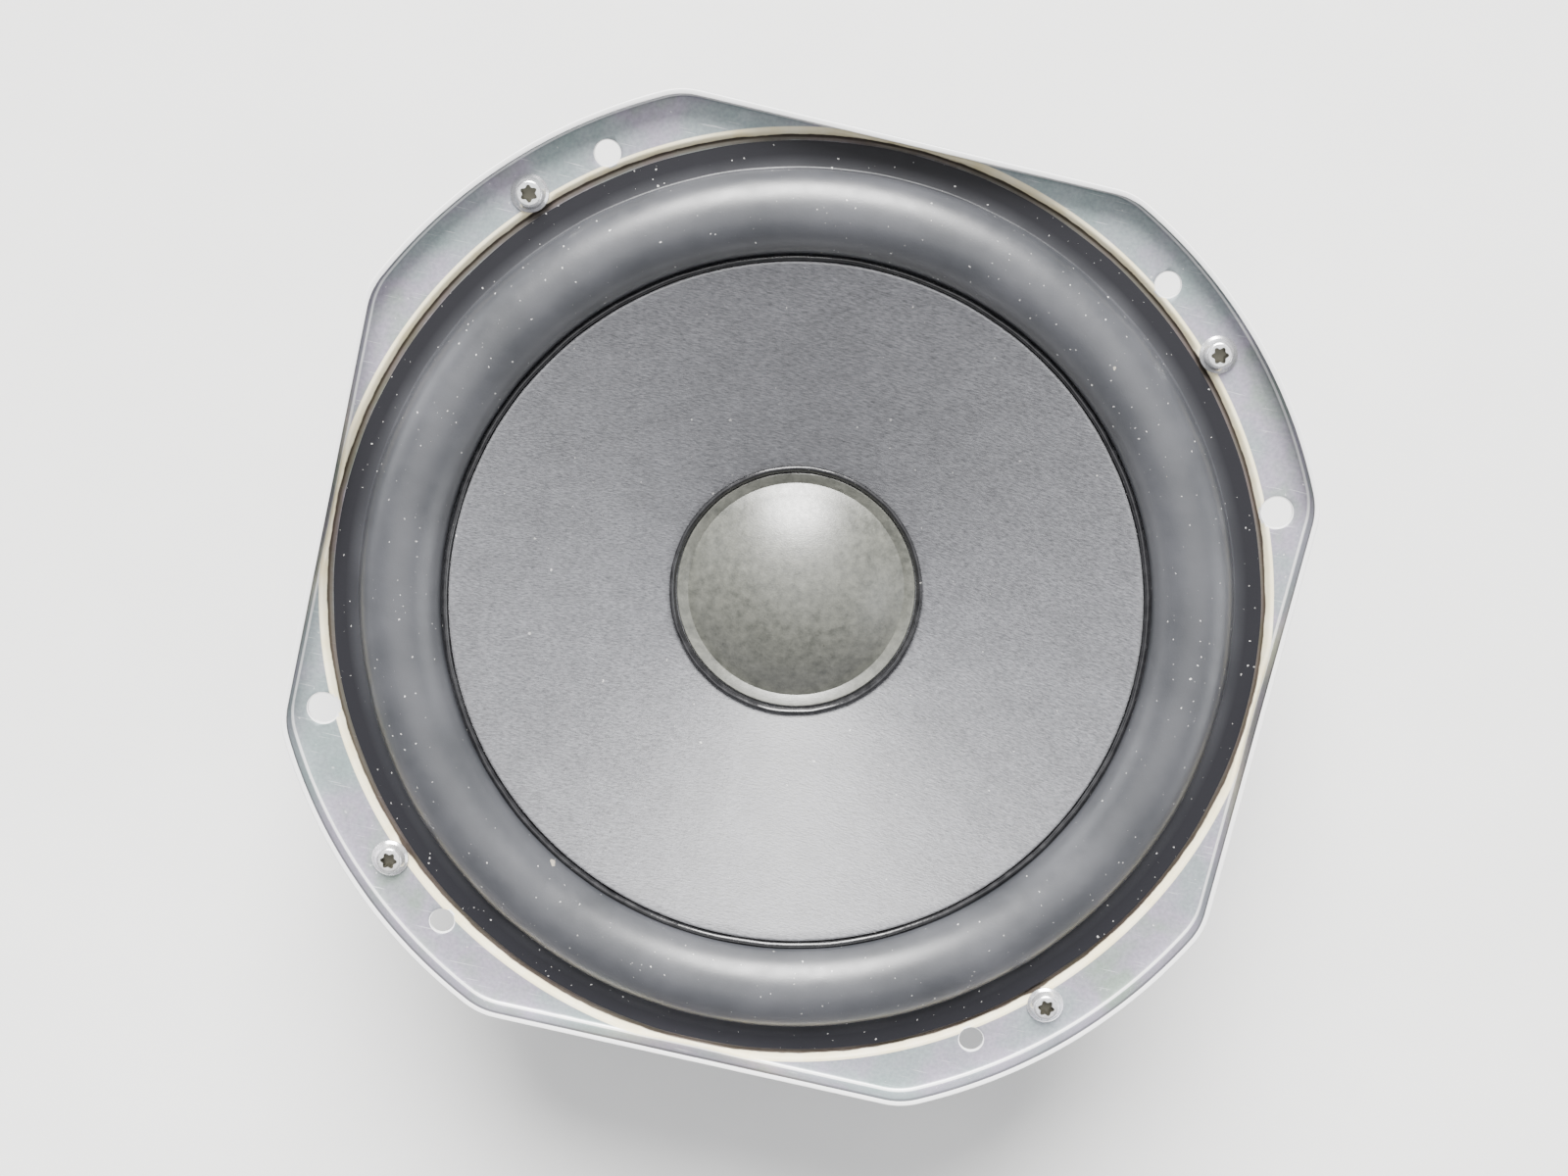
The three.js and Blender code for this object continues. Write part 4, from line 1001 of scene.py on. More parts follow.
# %% [markdown]
# ## Surround
# The surround is one moulding: a flat landing glued to the ledge, a half roll that lets the cone move, and
# a lip under the edge of the cone. In use the roll flexes and nothing else does. The outline is a sheet
# of even thickness, turned in fine steps; the crease at the foot of the roll and the trimmed outer
# edge wander a little, as on a moulding that was cut by hand and glued down.


# %% Surround
RUBBER = 1.2
ROLL_IN = CONE_EDGE + 1.8
LANDING = span("surround")[0]
ROLL_OUT = LANDING - 6.6


def cone_back(radius):
    return cone_front(radius) - 1.5 * ALONG_CONE


def surround_outline():
    landing, lip = LEDGE + FILM + RUBBER, cone_back(ROLL_IN) - FILM * ALONG_CONE
    middle, half = (ROLL_OUT + ROLL_IN) / 2, (ROLL_OUT - ROLL_IN) / 2
    front = [(LANDING, landing), ((LANDING + ROLL_OUT) / 2, landing), (ROLL_OUT, landing, 0.6)]
    for k in range(1, 32):
        turn = math.pi * k / 32
        base = landing + (lip - landing) * k / 32
        front.append((middle + half * math.cos(turn), base + 8.2 * math.sin(turn)))
    front.append((ROLL_IN, lip, 0.5))
    end = ROLL_IN - 7.5
    front.append((end, cone_back(end) - FILM * ALONG_CONE))
    line = rounded(front, 4, closed=False)
    return line + offset_line(line, RUBBER)[::-1]


def trimmed(radius, height, turn):
    """Lets the outer edge and the crease wander."""
    edge = np.clip((radius - ROLL_OUT - 3.0) / 3.6, 0, 1)
    crease = np.exp(-((radius - ROLL_OUT) / 1.3) ** 2)
    shift = -0.22 * (1 + np.cos(turn - math.pi)) + ripple(turn, 0.10, 5)
    return radius + edge * shift + crease * ripple(turn, 0.10, 6), height + crease * ripple(turn, 0.07, 7)


surround = turned("rubber_surround", surround_outline(), surround_rubber, columns=400, shape=trimmed)
x, y, _ = points_of(surround)
store(surround, "landing", np.clip((np.hypot(x, y) - ROLL_OUT) / 0.8, 0, 1))
stand_in(surround, ["surround"])

# %% [markdown]
# ## Cone, dust cap and glue
# The cone is a plain funnel of felted paper, thin and stiff; its edge is softened, and its surface waves
# by a tenth of a millimetre where it dried on the mould. The cap has a narrow rim that lies on the cone
# and a dome over the coil. A bead of black glue runs round the edge of each, uneven in width, since glue
# is laid by a moving nozzle.


# %% Cone
def cone_outline():
    ends = [(CONE_EDGE, cone_front(CONE_EDGE), 0.5), (NECK, cone_front(NECK), 0.3)]
    back = [(NECK, cone_back(NECK), 0.3), (CONE_EDGE, cone_back(CONE_EDGE), 0.3)]
    corners = rounded(ends + back, 3)
    line = []
    for a, b in zip(corners, corners[1:] + corners[:1]):
        pieces = max(1, int(math.dist(a, b) / 2.0))
        line += [tuple(Vector(a).lerp(Vector(b), k / pieces)) for k in range(pieces)]
    return line


def dried(radius, height, turn):
    share = np.sin(np.clip((radius - NECK) / (CONE_EDGE - NECK), 0, 1) * math.pi)
    return radius, height + share * (ripple(turn, 0.05, 8) + 0.04 * np.sin(radius / 5.0))


cone = turned("paper_cone", cone_outline(), cone_paper, columns=288, shape=dried)
stand_in(cone, ["cone"], "moving_assembly")


# %% Dust cap
def cap_outline():
    dome, rim, rise, wall = NECK + 0.3, span("dust_cap")[0], 9.0, 0.8
    thickness = wall * ALONG_CONE
    seat = FILM * ALONG_CONE
    foot = cone_front(dome) + seat + thickness
    sphere = (dome ** 2 + rise ** 2) / (2 * rise)
    centre = foot + rise - sphere

    def arc(radius, edge):
        reach = math.asin(edge / radius)
        return [(radius * math.sin(reach * (1 - k / 20)), centre + radius * math.cos(reach * (1 - k / 20)))
                for k in range(21)]
    outside = arc(sphere, dome)
    inside = arc(sphere - wall, dome - wall)
    low = dome - wall
    rim_line = [(low, cone_front(low) + seat), (rim, cone_front(rim) + seat, 0.3),
                (rim, cone_front(rim) + seat + thickness, 0.3),
                (dome + 0.3, cone_front(dome + 0.3) + seat + thickness)]
    return inside[::-1] + rounded(rim_line, 3, closed=False) + outside[1:]


cap = turned("domed_cap", cap_outline(), cap_fibre, columns=192, sharp=25.0)
stand_in(cap, ["dust_cap"], "moving_assembly")


# %% Glue beads
def bead(name, inner, outer, under, over, crown, seed, columns):
    """A bead with a round top between two radii; it swells and thins along its length."""
    line = [(inner, under(inner)), (outer, under(outer))]
    for k in range(9):
        share = k / 8
        radius = outer + (inner - outer) * share
        line.append((radius, over(radius) + crown * math.sin(math.pi * share)))

    def uneven(radius, height, turn):
        top = np.clip((height - (under(0) + (under(1) - under(0)) * radius)) / 1.2, 0, 1)
        return radius + 0.12 * top * ripple(turn, 1.0, seed), height + top * ripple(turn, 0.10, seed + 1)
    return turned(name, line, black_glue, columns=columns, shape=uneven, sharp=80.0)


def on_cone(radius):
    return cone_front(radius) + FILM * ALONG_CONE


cap_bead = bead("cap_glue", span("dust_cap")[0] + FILM, span("dust_cap")[0] + FILM + 1.5, on_cone,
                lambda r: on_cone(r) + 0.8 * ALONG_CONE, 0.5, 31, 240)
stand_in(cap_bead, ["dust_cap_bead"], "moving_assembly")
edge_bead = bead("edge_glue", CONE_EDGE + FILM, ROLL_IN - FILM, cone_back, lambda r: CONE_TOP, 0.3, 41, 480)
stand_in(edge_bead, ["cone_edge_bead"], "moving_assembly")

# %% [markdown]
# ## Motor
# The motor is a stack: a yoke whose pole is vented, a ferrite ring and a top plate. Turned parts show their
# making by their chamfers and by tool marks, so each outline has small rounded chamfers, and the
# ferrite's edges are a little chipped by a ripple in the radius.


# %% Motor
def ring_outline(inner, outer, low, high, chamfer):
    soft = 0.35
    return rounded([(inner, low, soft), (outer - chamfer, low, soft), (outer, low + chamfer, soft),
                    (outer, high - chamfer, soft), (outer - chamfer, high, soft), (inner, high, soft)], 3)


def chipped(radius, height, turn):
    edge = np.clip(radius - span("magnet")[0] + 2.0, 0, 1)
    return radius + edge * ripple(turn, 0.05, 12), height


PLATE = span("top_plate")[0]
_, YOKE_LOW, YOKE_HIGH = span("t_yoke")
POLE, BACK = 24.4, 7.0  # radius of the pole, thickness of the back plate
yoke_line = rounded([(11.0, YOKE_LOW, 0.5), (PLATE - 1.2, YOKE_LOW, 0.6), (PLATE, YOKE_LOW + 1.2, 0.6),
                     (PLATE, BACK - 1.2, 0.6), (PLATE - 1.2, BACK, 0.6), (POLE, BACK, 0.8),
                     (POLE, YOKE_HIGH - 1.2, 0.6),
                     (POLE - 1.2, YOKE_HIGH, 0.6), (8.0, YOKE_HIGH, 0.6), (8.0, 3.0, 1.5)], 4)
yoke = turned("vented_yoke", yoke_line, plated_iron, columns=192)
stand_in(yoke, ["t_yoke"], "frame")
_, MAGNET_LOW, MAGNET_HIGH = span("magnet")
magnet = turned("ring_magnet", ring_outline(31.0, span("magnet")[0], MAGNET_LOW, MAGNET_HIGH, 1.2), ferrite,
                columns=240, shape=chipped)
stand_in(magnet, ["magnet"], "frame")
_, PLATE_LOW, PLATE_HIGH = span("top_plate")
front_plate = turned("front_plate", ring_outline(27.4, PLATE, PLATE_LOW, PLATE_HIGH, 1.2), plated_iron,
                     columns=192)
for degrees in SCREWS:
    x, y, _ = on_circle(RIVET_CIRCLE, degrees)
    hole = ring_points(x, RIVET_HOLE, 24, y)
    take_out(front_plate, prism("rivet_hole", hole, PLATE_LOW - 1, PLATE_HIGH + 1))
front_plate.data.set_sharp_from_angle(angle=math.radians(40))
stand_in(front_plate, ["top_plate"], "frame")


# %% Voice coil
def tube(name, node, finish, wall):
    outer, low, high = span(node)
    inner = outer - wall
    line = rounded([(inner, low, 0.1), (outer, low, 0.1), (outer, high, 0.1), (inner, high, 0.1)], 2)
    piece = turned(name, line, finish, columns=144)
    stand_in(piece, [node], "moving_assembly")


tube("coil_former", "voice_coil_former", former_foil, 0.4)
tube("neck_tape", "former_collar", kraft_paper, 0.6)
tube("coil_winding", "voice_coil_winding", copper_wire, 1.0)

# %% [markdown]
# ## Spider
# The spider is cotton cloth dipped in resin and pressed hot into rings of waves. It centres the coil and
# returns it to rest. Its shape is a rule, a sine of the radius inside a flat rim and a flat
# neck, so a geometry tree lays a grid, bends it into a ring and sets each point's height. The
# sizes are the tree's inputs; Solidify then gives the cloth its thickness.


# %% Corrugated cloth tree
def corrugated_tree():
    tree, given = new_tree("corrugated_cloth", {
        "Inner radius": "Float", "Outer radius": "Float", "Wave start": "Float", "Wave width": "Float",
        "Waves": "Float", "Wave height": "Float", "Height": "Float", "Rings": "Int", "Columns": "Int",
        "Finish": "Material"})
    size = given.outputs
    around = arithmetic(tree, "ADD", size["Columns"], 1)
    grid = step(tree, "GeometryNodeMeshGrid", {"Size X": 1.0, "Size Y": 1.0, "Vertices X": size["Rings"],
                                               "Vertices Y": around})
    place = step(tree, "ShaderNodeSeparateXYZ", {0: step(tree, "GeometryNodeInputPosition")})
    width = arithmetic(tree, "SUBTRACT", size["Outer radius"], size["Inner radius"])
    along = arithmetic(tree, "ADD", place.outputs["X"], 0.5)
    radius = arithmetic(tree, "MULTIPLY_ADD", along, width, size["Inner radius"])
    turn = times(tree, place.outputs["Y"], 2 * math.pi)
    into = arithmetic(tree, "SUBTRACT", radius, size["Wave start"])
    into = arithmetic(tree, "DIVIDE", into, size["Wave width"])
    share = step(tree, "ShaderNodeClamp", {0: into}).outputs[0]
    wave = arithmetic(tree, "SINE", times(tree, share, size["Waves"], -2 * math.pi))
    height = arithmetic(tree, "MULTIPLY_ADD", wave, size["Wave height"], size["Height"])
    x, y = (times(tree, radius, arithmetic(tree, function, turn)) for function in ("COSINE", "SINE"))
    spot = step(tree, "ShaderNodeCombineXYZ", {0: x, 1: y, 2: height})
    bent = step(tree, "GeometryNodeSetPosition", {"Geometry": grid.outputs["Mesh"], "Position": spot})
    closed = step(tree, "GeometryNodeMergeByDistance", {"Geometry": bent, "Distance": 0.00001})
    end_tree(tree, step(tree, "GeometryNodeSetShadeSmooth", {"Geometry": closed}), size["Finish"])
    return tree


CLOTH_WALL = 0.6
spider = make_piece("corrugated_spider", [], [])
grow(spider, corrugated_tree(), Inner_radius=NECK * MM, Outer_radius=span("spider")[0] * MM,
     Wave_start=30.0 * MM, Wave_width=34.0 * MM, Waves=5.0, Wave_height=1.9 * MM, Height=CLOTH * MM,
     Rings=112, Columns=240, Finish=spider_cloth)
wall = spider.modifiers.new("cloth_wall", "SOLIDIFY")
wall.thickness = CLOTH_WALL * MM
wall.offset = 0.0
settle(spider)
stand_in(spider, ["spider"])

# %% [markdown]
# ## Screws and rivets
# Four flanged pan-head screws hold the basket, and four rivets hold it to the motor. One screw is
# turned, its six-lobed recess is cut, and a thread is grown on it by a tree: a spiral with a three-sided
# section. A second tree sets any fastener round a circle and turns each by a seeded random angle,
# as no two screws stop alike. Both kinds come out as one mesh each.


# %% Ring of fasteners
def fastener_tree():
    tree, given = new_tree("ring_of_fasteners", {
        "Fastener": "Object", "Count": "Int", "Circle radius": "Float", "Height": "Float",
        "First angle": "Float", "Seed": "Int", "Finish": "Material"})
    size = given.outputs
    ring = step(tree, "GeometryNodeMeshCircle", {
        "Vertices": size["Count"], "Radius": size["Circle radius"]})
    placed = step(tree, "GeometryNodeTransform", {
        "Geometry": ring, "Translation": upwards(tree, size["Height"]),
        "Rotation": upwards(tree, size["First angle"])})
    one = step(tree, "GeometryNodeObjectInfo", {"Object": size["Fastener"]}, transform_space="ORIGINAL")
    spin = step(tree, "FunctionNodeRandomValue", {2: 0.0, 3: 2 * math.pi, "Seed": size["Seed"]})
    copies = step(tree, "GeometryNodeInstanceOnPoints", {
        "Points": placed, "Instance": one.outputs["Geometry"],
        "Rotation": upwards(tree, spin.outputs[1])})
    end_tree(tree, copies, size["Finish"])
    return tree


FASTENERS = fastener_tree()


def fastener_ring(name, fastener, radius, height, seed):
    ring = make_piece(name, [], [])
    grow(ring, FASTENERS, Fastener=fastener, Count=4, Circle_radius=radius * MM, Height=height * MM,
         First_angle=math.radians(45.0), Seed=seed, Finish=bright_zinc)
    settle(ring)
    bpy.data.objects.remove(fastener)
    return ring


# %% Screw thread tree
def thread_tree():
    tree, given = new_tree("screw_thread", {
        "Core radius": "Float", "Thread depth": "Float", "Pitch": "Float", "Length": "Float",
        "Lowest": "Float", "Finish": "Material"})
    size = given.outputs
    rounds = arithmetic(tree, "DIVIDE", size["Length"], size["Pitch"])
    helix = step(tree, "GeometryNodeCurveSpiral", {
        "Resolution": 28, "Rotations": rounds, "Start Radius": size["Core radius"],
        "End Radius": size["Core radius"], "Height": size["Length"]})
    placed = step(tree, "GeometryNodeTransform", {
        "Geometry": helix, "Translation": upwards(tree, size["Lowest"])})
    ridge = swept(tree, placed, 3, size["Thread depth"])
    joined = step(tree, "GeometryNodeJoinGeometry")
    tree.links.new(given.outputs["Geometry"], joined.inputs[0])
    tree.links.new(ridge.outputs[0], joined.inputs[0])
    end_tree(tree, joined, size["Finish"])
    return tree


HEAD_TOP = 2.7


def screw_blank():
    """The screw before its thread: shank, flange and head, seated at height zero."""
    seat = FILM
    line = [(0.0, -16.0), (0.5, -15.6, 0.2), (2.05, -12.0, 0.5), (2.05, -1.2), (2.4, -0.6), (2.4, seat),
            (4.5, seat, 0.1), (4.5, seat + 0.35, 0.25), (3.75, seat + 0.8, 0.2), (3.65, seat + 1.6, 0.7),
            (2.9, seat + HEAD_TOP, 0.9), (0.0, seat + HEAD_TOP)]
    return turned("screw", rounded(line, 5), bright_zinc, columns=72, sharp=50.0)


def cut_recess(screw):
    """Six round lobes, 1.7 mm deep, with a flared mouth; the inside gets painted shade."""
    for depth, grow_by in ((1.7, 0.0), (0.12, 0.12)):
        lobes = []
        for k in range(72):
            turn = 2 * math.pi * k / 72
            reach = 1.97 + grow_by - 0.28 * (1 - math.cos(6 * turn))
            lobes.append((reach * math.cos(turn), reach * math.sin(turn)))
        take_out(screw, prism("recess", lobes, FILM + HEAD_TOP - depth, 5.0))
    x, y, z = points_of(screw)
    store(screw, "recess_shade", (np.hypot(x, y) < 2.3) & (z > 1.0) & (z < FILM + HEAD_TOP - 0.05))


screw = screw_blank()
cut_recess(screw)
grow(screw, thread_tree(), Core_radius=2.06 * MM, Thread_depth=0.36 * MM, Pitch=1.4 * MM,
     Length=11.2 * MM, Lowest=-12.6 * MM, Finish=bright_zinc)
settle(screw)
screw.data.set_sharp_from_angle(angle=math.radians(40))
screws = fastener_ring("mounting_screws", screw, PITCH, FLANGE, 4)
stand_in(screws, ["mounting_screw_%d" % k for k in (1, 2, 3, 4)], "frame")

# %% Rivets of the basket
rivet_line = [(0.0, -8.2), (2.5, -8.2, 0.3), (2.5, FILM), (4.5, FILM, 0.1), (4.4, FILM + 0.6, 0.4),
              (2.9, FILM + 1.7, 1.2), (1.2, FILM + 1.8, 0.2), (0.9, FILM + 1.45, 0.2), (0.0, FILM + 1.4)]
rivet = turned("frame_rivet", rounded(rivet_line, 5), bright_zinc, columns=64)
rivets = fastener_ring("frame_rivets", rivet, RIVET_CIRCLE, FLOOR, 9)
stand_in(rivets, ["frame_rivet_%d" % k for k in (1, 2, 3, 4)], "frame")

# %% [markdown]
# ## Gasket
# A ring of closed-cell foam under the ledge seals the speaker to its box. Foam bulges between its two
# skins, and cut foam shows open pores on its sides, so the outline is crowned and the finish is
# pitted. It is a padded piece, nearly full.

# %% Foam gasket
_, GASKET_LOW, GASKET_HIGH = span("mounting_gasket")
gasket_in, gasket_out = 105.4, span("mounting_gasket")[0]
crown = (GASKET_LOW + GASKET_HIGH) / 2
gasket_line = rounded([(gasket_in + 0.3, GASKET_LOW, 0.6), (gasket_out - 0.3, GASKET_LOW, 0.6),
                       (gasket_out, crown, 2.0), (gasket_out - 0.3, GASKET_HIGH, 0.6),
                       (gasket_in + 0.3, GASKET_HIGH, 0.6), (gasket_in, crown, 2.0)], 4)
gasket = turned("foam_gasket", gasket_line, gasket_foam, columns=240,
                shape=lambda r, z, turn: (r, z + ripple(turn, 0.05, 51)))
stand_in(gasket, ["mounting_gasket"], "frame")

# %% [markdown]
# ## Terminals
# Behind the solid part of the wall a brown board carries two push-on blades, a wide one for plus and
# a narrow one for minus, so that a loom can't be swapped. The board is a flat outline with holes: a
# filled curve with a small bevel gives it round edges at once. A blade is a strip bent twice; its
# tip is tapered and it has the round catch hole that a receptacle snaps into.


# %% Board
def loop_spline(curve, points):
    spline = curve.splines.new("POLY")
    spline.points.add(len(points) - 1)
    for target, (x, y) in zip(spline.points, points):
        target.co = (x * MM, y * MM, 0.0, 1.0)
    spline.use_cyclic_u = True


def flat_plate(name, loops, thickness, edge, finish):
    """A plate with holes, its edges rounded: a filled curve, made a mesh."""
    curve = bpy.data.curves.new(name, "CURVE")
    curve.dimensions = "2D"
    curve.fill_mode = "BOTH"
    curve.extrude = (thickness / 2 - edge) * MM
    curve.bevel_depth = edge * MM
    curve.bevel_resolution = 2
    curve.offset = -edge * MM
    for loop in loops:
        loop_spline(curve, loop)
    drawn = bpy.data.objects.new(name + "_drawn", curve)
    bpy.context.scene.collection.objects.link(drawn)
    mesh = evaluated_mesh(drawn)
    bpy.data.objects.remove(drawn)
    mesh.materials.clear()
    mesh.materials.append(finish)
    piece = bpy.data.objects.new(name, mesh)
    bpy.context.scene.collection.objects.link(piece)
    close_poles(piece)
    mesh.shade_smooth()
    mesh.set_sharp_from_angle(angle=math.radians(50))
    return piece


BOARD = 1.6
BOARD_FACE = 2 * FILM + BOARD
BLADE_STEP = -5.0  # the blade stands this far to the side of its root
TAB_PLACES = {"terminal_positive": (-6.5, 6.3), "terminal_negative": (6.5, 4.8)}
board_loops = [rectangle(36.0, 16.0, 2.0)]
for x, width in TAB_PLACES.values():
    board_loops.append([(x + px, py) for px, py in rectangle(width + 0.6, 1.4, 0.15)])
board_loops += [ring_points(x, PIN_HOLE) for x in BOARD_RIVETS]
board = flat_plate("terminal_plate", board_loops, BOARD, 0.12, phenolic_board)
slide(board, 0, 0, FILM + BOARD / 2)
on_panel(board)
stand_in(board, ["terminal_board"], "frame")


# %% Blades
def bent_strip(name, path, width, thickness, tip, finish):
    """A strip swept along a bent line in y and z, `width` along x, narrower near its end."""
    inner = offset_line(path, thickness / 2)
    outer = offset_line(path, -thickness / 2)
    points, count = [], len(path)
    length = np.concatenate([[0.0], np.cumsum([math.dist(a, b) for a, b in zip(path, path[1:])])])
    for k in range(count):
        half = width / 2 - max(0.0, tip - (length[-1] - length[k])) * 0.45
        pinch = min(1.0, 0.45 + (length[-1] - length[k]) / 1.4)
        ends = [Vector(path[k]).lerp(Vector(side[k]), pinch) for side in (inner, outer)]
        points += [(-half, *ends[0]), (half, *ends[0]), (half, *ends[1]), (-half, *ends[1])]
    faces = [(3, 2, 1, 0), tuple(4 * (count - 1) + k for k in range(4))]
    for k in range(count - 1):
        for j in range(4):
            a, b = 4 * k + j, 4 * k + (j + 1) % 4
            faces.append((a, b, b + 4, a + 4))
    return make_piece(name, points, faces, finish)


def blade_path():
    line = [(0.0, -5.2), (0.0, BOARD_FACE + 0.4, 1.1), (BLADE_STEP, BOARD_FACE + 0.4, 0.8),
            (BLADE_STEP, BOARD_FACE + 10.8)]
    bent = rounded(line, 5, closed=False)
    start, end = Vector(bent[-2]), Vector(bent[-1])
    return bent[:-1] + [tuple(start.lerp(end, k / 8)) for k in range(1, 9)]


for node, (x, width) in TAB_PLACES.items():
    blade = bent_strip("blade_" + node.split("_")[1], blade_path(), width, 0.8, 1.6, tinned_brass)
    slide(blade, x, 0, 0)
    shell = bmesh.new()
    shell.from_mesh(blade.data)
    bmesh.ops.recalc_face_normals(shell, faces=shell.faces)
    shell.to_mesh(blade.data)
    shell.free()
    catch = prism("catch", ring_points(0.0, 0.85), -1.0, 1.0)
    catch.data.transform(Matrix.Rotation(math.pi / 2, 4, "X"))
    slide(catch, x, BLADE_STEP, BOARD_FACE + 7.4)
    take_out(blade, catch)
    edges = blade.modifiers.new("worn_edges", "BEVEL")
    edges.width = 0.08 * MM
    edges.segments = 2
    edges.limit_method = "ANGLE"
    edges.angle_limit = math.radians(50)
    settle(blade)
    on_panel(blade)
    stand_in(blade, [node], "frame")

# %% Rivets of the board
HEAD = 2.5
across_board = BOARD_RIVETS[1] + HEAD
bend_radius = PANEL_OUT / math.sin(PANEL_SLOPE)
seat = SHEET + bend_radius - math.sqrt(bend_radius ** 2 - across_board ** 2) + FILM
face = BOARD_FACE
board_rivet_line = [(0.0, -seat - 0.7), (0.8, -seat - 0.75, 0.2), (HEAD - 0.3, -seat - 0.9, 0.4),
                    (HEAD, -seat, 0.1), (1.4, -seat), (1.4, face), (HEAD, face, 0.1),
                    (HEAD - 0.3, face + 0.75, 0.4), (1.0, face + 0.9, 0.3), (0.7, face + 0.5, 0.2),
                    (0.0, face + 0.45)]
for number, x in enumerate(BOARD_RIVETS, 1):
    pin = turned("board_pin_%d" % number, rounded(board_rivet_line, 4), tinned_brass, columns=48)
    slide(pin, x, 0, 0)
    stand_in(on_panel(pin), ["board_rivet_%d" % number], "frame")

# %% [markdown]
# ## Tinsel leads
# The current reaches the moving coil by two leads braided from copper tinsel, which bend millions of
# times without breaking. A braid is strands that run round a path both ways. The tree copies
# the path once for each strand, moves each copy out by an angle that grows along it, half of them
# one way and half the other, and gives each a round section. The path is the solid model's own.


# %% Braiding tree
def braid_tree():
    tree, given = new_tree("braided_lead", {
        "Strands": "Int", "Turns": "Float", "Braid radius": "Float", "Strand radius": "Float",
        "Steps": "Int", "Finish": "Material"})
    size = given.outputs
    path = step(tree, "GeometryNodeMeshToCurve", {"Mesh": given.outputs["Geometry"]})
    even = step(tree, "GeometryNodeResampleCurve", {"Curve": path, "Count": size["Steps"]})
    strands = step(tree, "GeometryNodeDuplicateElements", {"Geometry": even, "Amount": size["Strands"]},
                   domain="SPLINE")
    number = strands.outputs["Duplicate Index"]
    odd = arithmetic(tree, "MODULO", number, 2.0)
    hand = arithmetic(tree, "MULTIPLY_ADD", odd, 2.0, -1.0)
    pair = arithmetic(tree, "FLOOR", arithmetic(tree, "DIVIDE", number, 2.0))
    start = arithmetic(tree, "DIVIDE", times(tree, pair, 4 * math.pi), size["Strands"])
    along = step(tree, "GeometryNodeSplineParameter").outputs["Factor"]
    turn = arithmetic(tree, "ADD", start, times(tree, along, size["Turns"], 2 * math.pi, hand))
    crossing = arithmetic(tree, "COSINE", times(tree, turn, size["Strands"], 0.5))
    over = arithmetic(tree, "MULTIPLY_ADD", times(tree, crossing, hand), 0.16, 1.0)
    reach = times(tree, over, size["Braid radius"])
    normal = step(tree, "GeometryNodeInputNormal").outputs[0]
    tangent = step(tree, "GeometryNodeInputTangent").outputs[0]
    other = step(tree, "ShaderNodeVectorMath", {0: tangent, 1: normal}, operation="CROSS_PRODUCT").outputs[0]
    sides = [step(tree, "ShaderNodeVectorMath", {
        0: vector, "Scale": times(tree, reach, arithmetic(tree, function, turn))},
        operation="SCALE").outputs[0] for vector, function in ((normal, "COSINE"), (other, "SINE"))]
    offset = step(tree, "ShaderNodeVectorMath", {0: sides[0], 1: sides[1]}, operation="ADD")
    moved = step(tree, "GeometryNodeSetPosition", {"Geometry": strands.outputs["Geometry"],
                                                   "Offset": offset.outputs[0]})
    made = swept(tree, moved, 6, size["Strand radius"])
    end_tree(tree, step(tree, "GeometryNodeSetShadeSmooth", {"Geometry": made}), size["Finish"])
    return tree


# %% Paths of the leads
def smooth_path(points, steps=24):
    """A centripetal Catmull-Rom line through the points."""
    line = [points[0] * 2 - points[1]] + points + [points[-1] * 2 - points[-2]]
    result = []
    for a, b, c, d in zip(line, line[1:], line[2:], line[3:]):
        gaps = [math.sqrt(max((q - p).length, 1e-6)) for p, q in ((a, b), (b, c), (c, d))]
        out = ((b - a) / gaps[0] - (c - a) / (gaps[0] + gaps[1]) + (c - b) / gaps[1]) * gaps[1]
        into = ((c - b) / gaps[1] - (d - b) / (gaps[1] + gaps[2]) + (d - c) / gaps[2]) * gaps[1]
        for k in range(steps):
            t = k / steps
            result.append(b * (2 * t ** 3 - 3 * t ** 2 + 1) + out * (t ** 3 - 2 * t ** 2 + t)
                          + c * (3 * t ** 2 - 2 * t ** 3) + into * (t ** 3 - t ** 2))
    return result + [points[-1]]


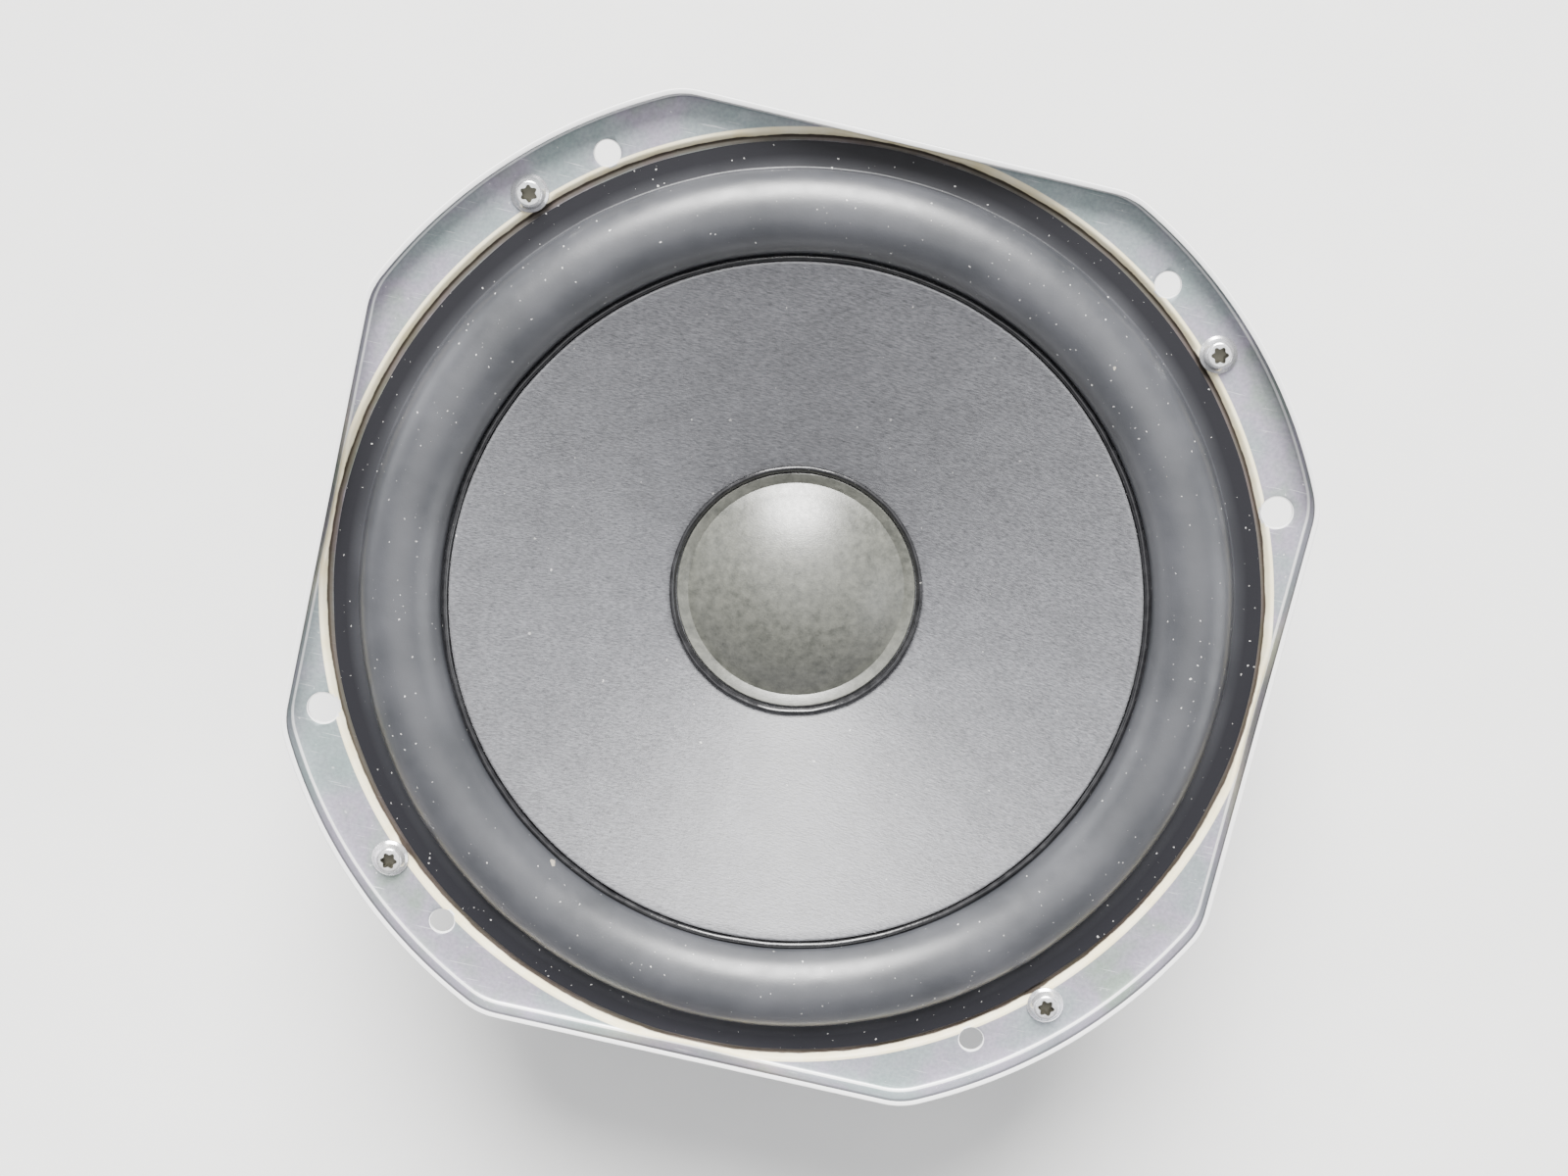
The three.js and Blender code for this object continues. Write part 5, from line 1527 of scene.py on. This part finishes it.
def lead_points(side, x):
    """From the tang of a blade to the collar of the coil, with some slack."""
    inwards = -(SHEET + 4.0 + FILM)
    start, leaving = (PANEL @ Vector((x, 0.0, inwards - k)) for k in (0.0, 4.0))
    landing = math.radians(270.0 + side * 20.0)
    height = CLOTH + 5.0
    collar = span("former_collar")[0]
    arriving, end = (Vector(((collar + gap) * math.cos(landing), (collar + gap) * math.sin(landing), height))
                     for gap in (FILM + 4.0, FILM))
    halfway = leaving.lerp(arriving, 0.5) + Vector((side * 5.0, 0.0, -0.8))
    return smooth_path([start, leaving, halfway, arriving, end])


BRAID = braid_tree()
leads = []
for number, (side, x) in enumerate(((-1, -6.5), (1, 6.5)), 1):
    path = lead_points(side, x)
    lead = make_piece("braided_lead_%d" % number, path, [])
    lead.data.edges.add(len(path) - 1)
    lead.data.edges.foreach_set("vertices", [i for k in range(len(path) - 1) for i in (k, k + 1)])
    grow(lead, BRAID, Strands=8, Turns=9.0, Braid_radius=0.52 * MM, Strand_radius=0.22 * MM, Steps=160,
         Finish=tinsel_braid)
    settle(lead)
    stand_in(lead, ["tinsel_lead_%d" % number])
    leads.append((lead, path))

# %% [markdown]
# ## What flexes
# The cone moves 9 mm each way. The surround, the spider and the leads join it to the basket, so each is
# blended between the two bodies: a point's weight says how much of the cone's motion it takes. A ring
# is fixed all round its outside and moves all round its inside, so its weights are then written again
# by radius. The flat landing and the rim keep weight 0, and the lip and the neck keep weight 1.


# %% Blends
def blend_ring(piece, fixed, moving):
    """Weights that run from the fixed radius in to the moving one, all round."""
    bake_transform(piece, "frame", "moving_assembly", start=(fixed * MM, 0, 0), end=(moving * MM, 0, 0))
    x, y, _ = points_of(piece)
    t = np.clip((fixed - np.hypot(x, y)) / (fixed - moving), 0, 1)
    store(piece, "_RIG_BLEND", t * t * (3 - 2 * t))


blend_ring(surround, ROLL_OUT + 0.2, ROLL_IN)
blend_ring(spider, 64.0, 30.0)
for lead, path in leads:
    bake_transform(lead, "frame", "moving_assembly", start=path[6] * MM, end=path[-12] * MM)
print("blended:", surround.name, spider.name, *[lead.name for lead, _ in leads])
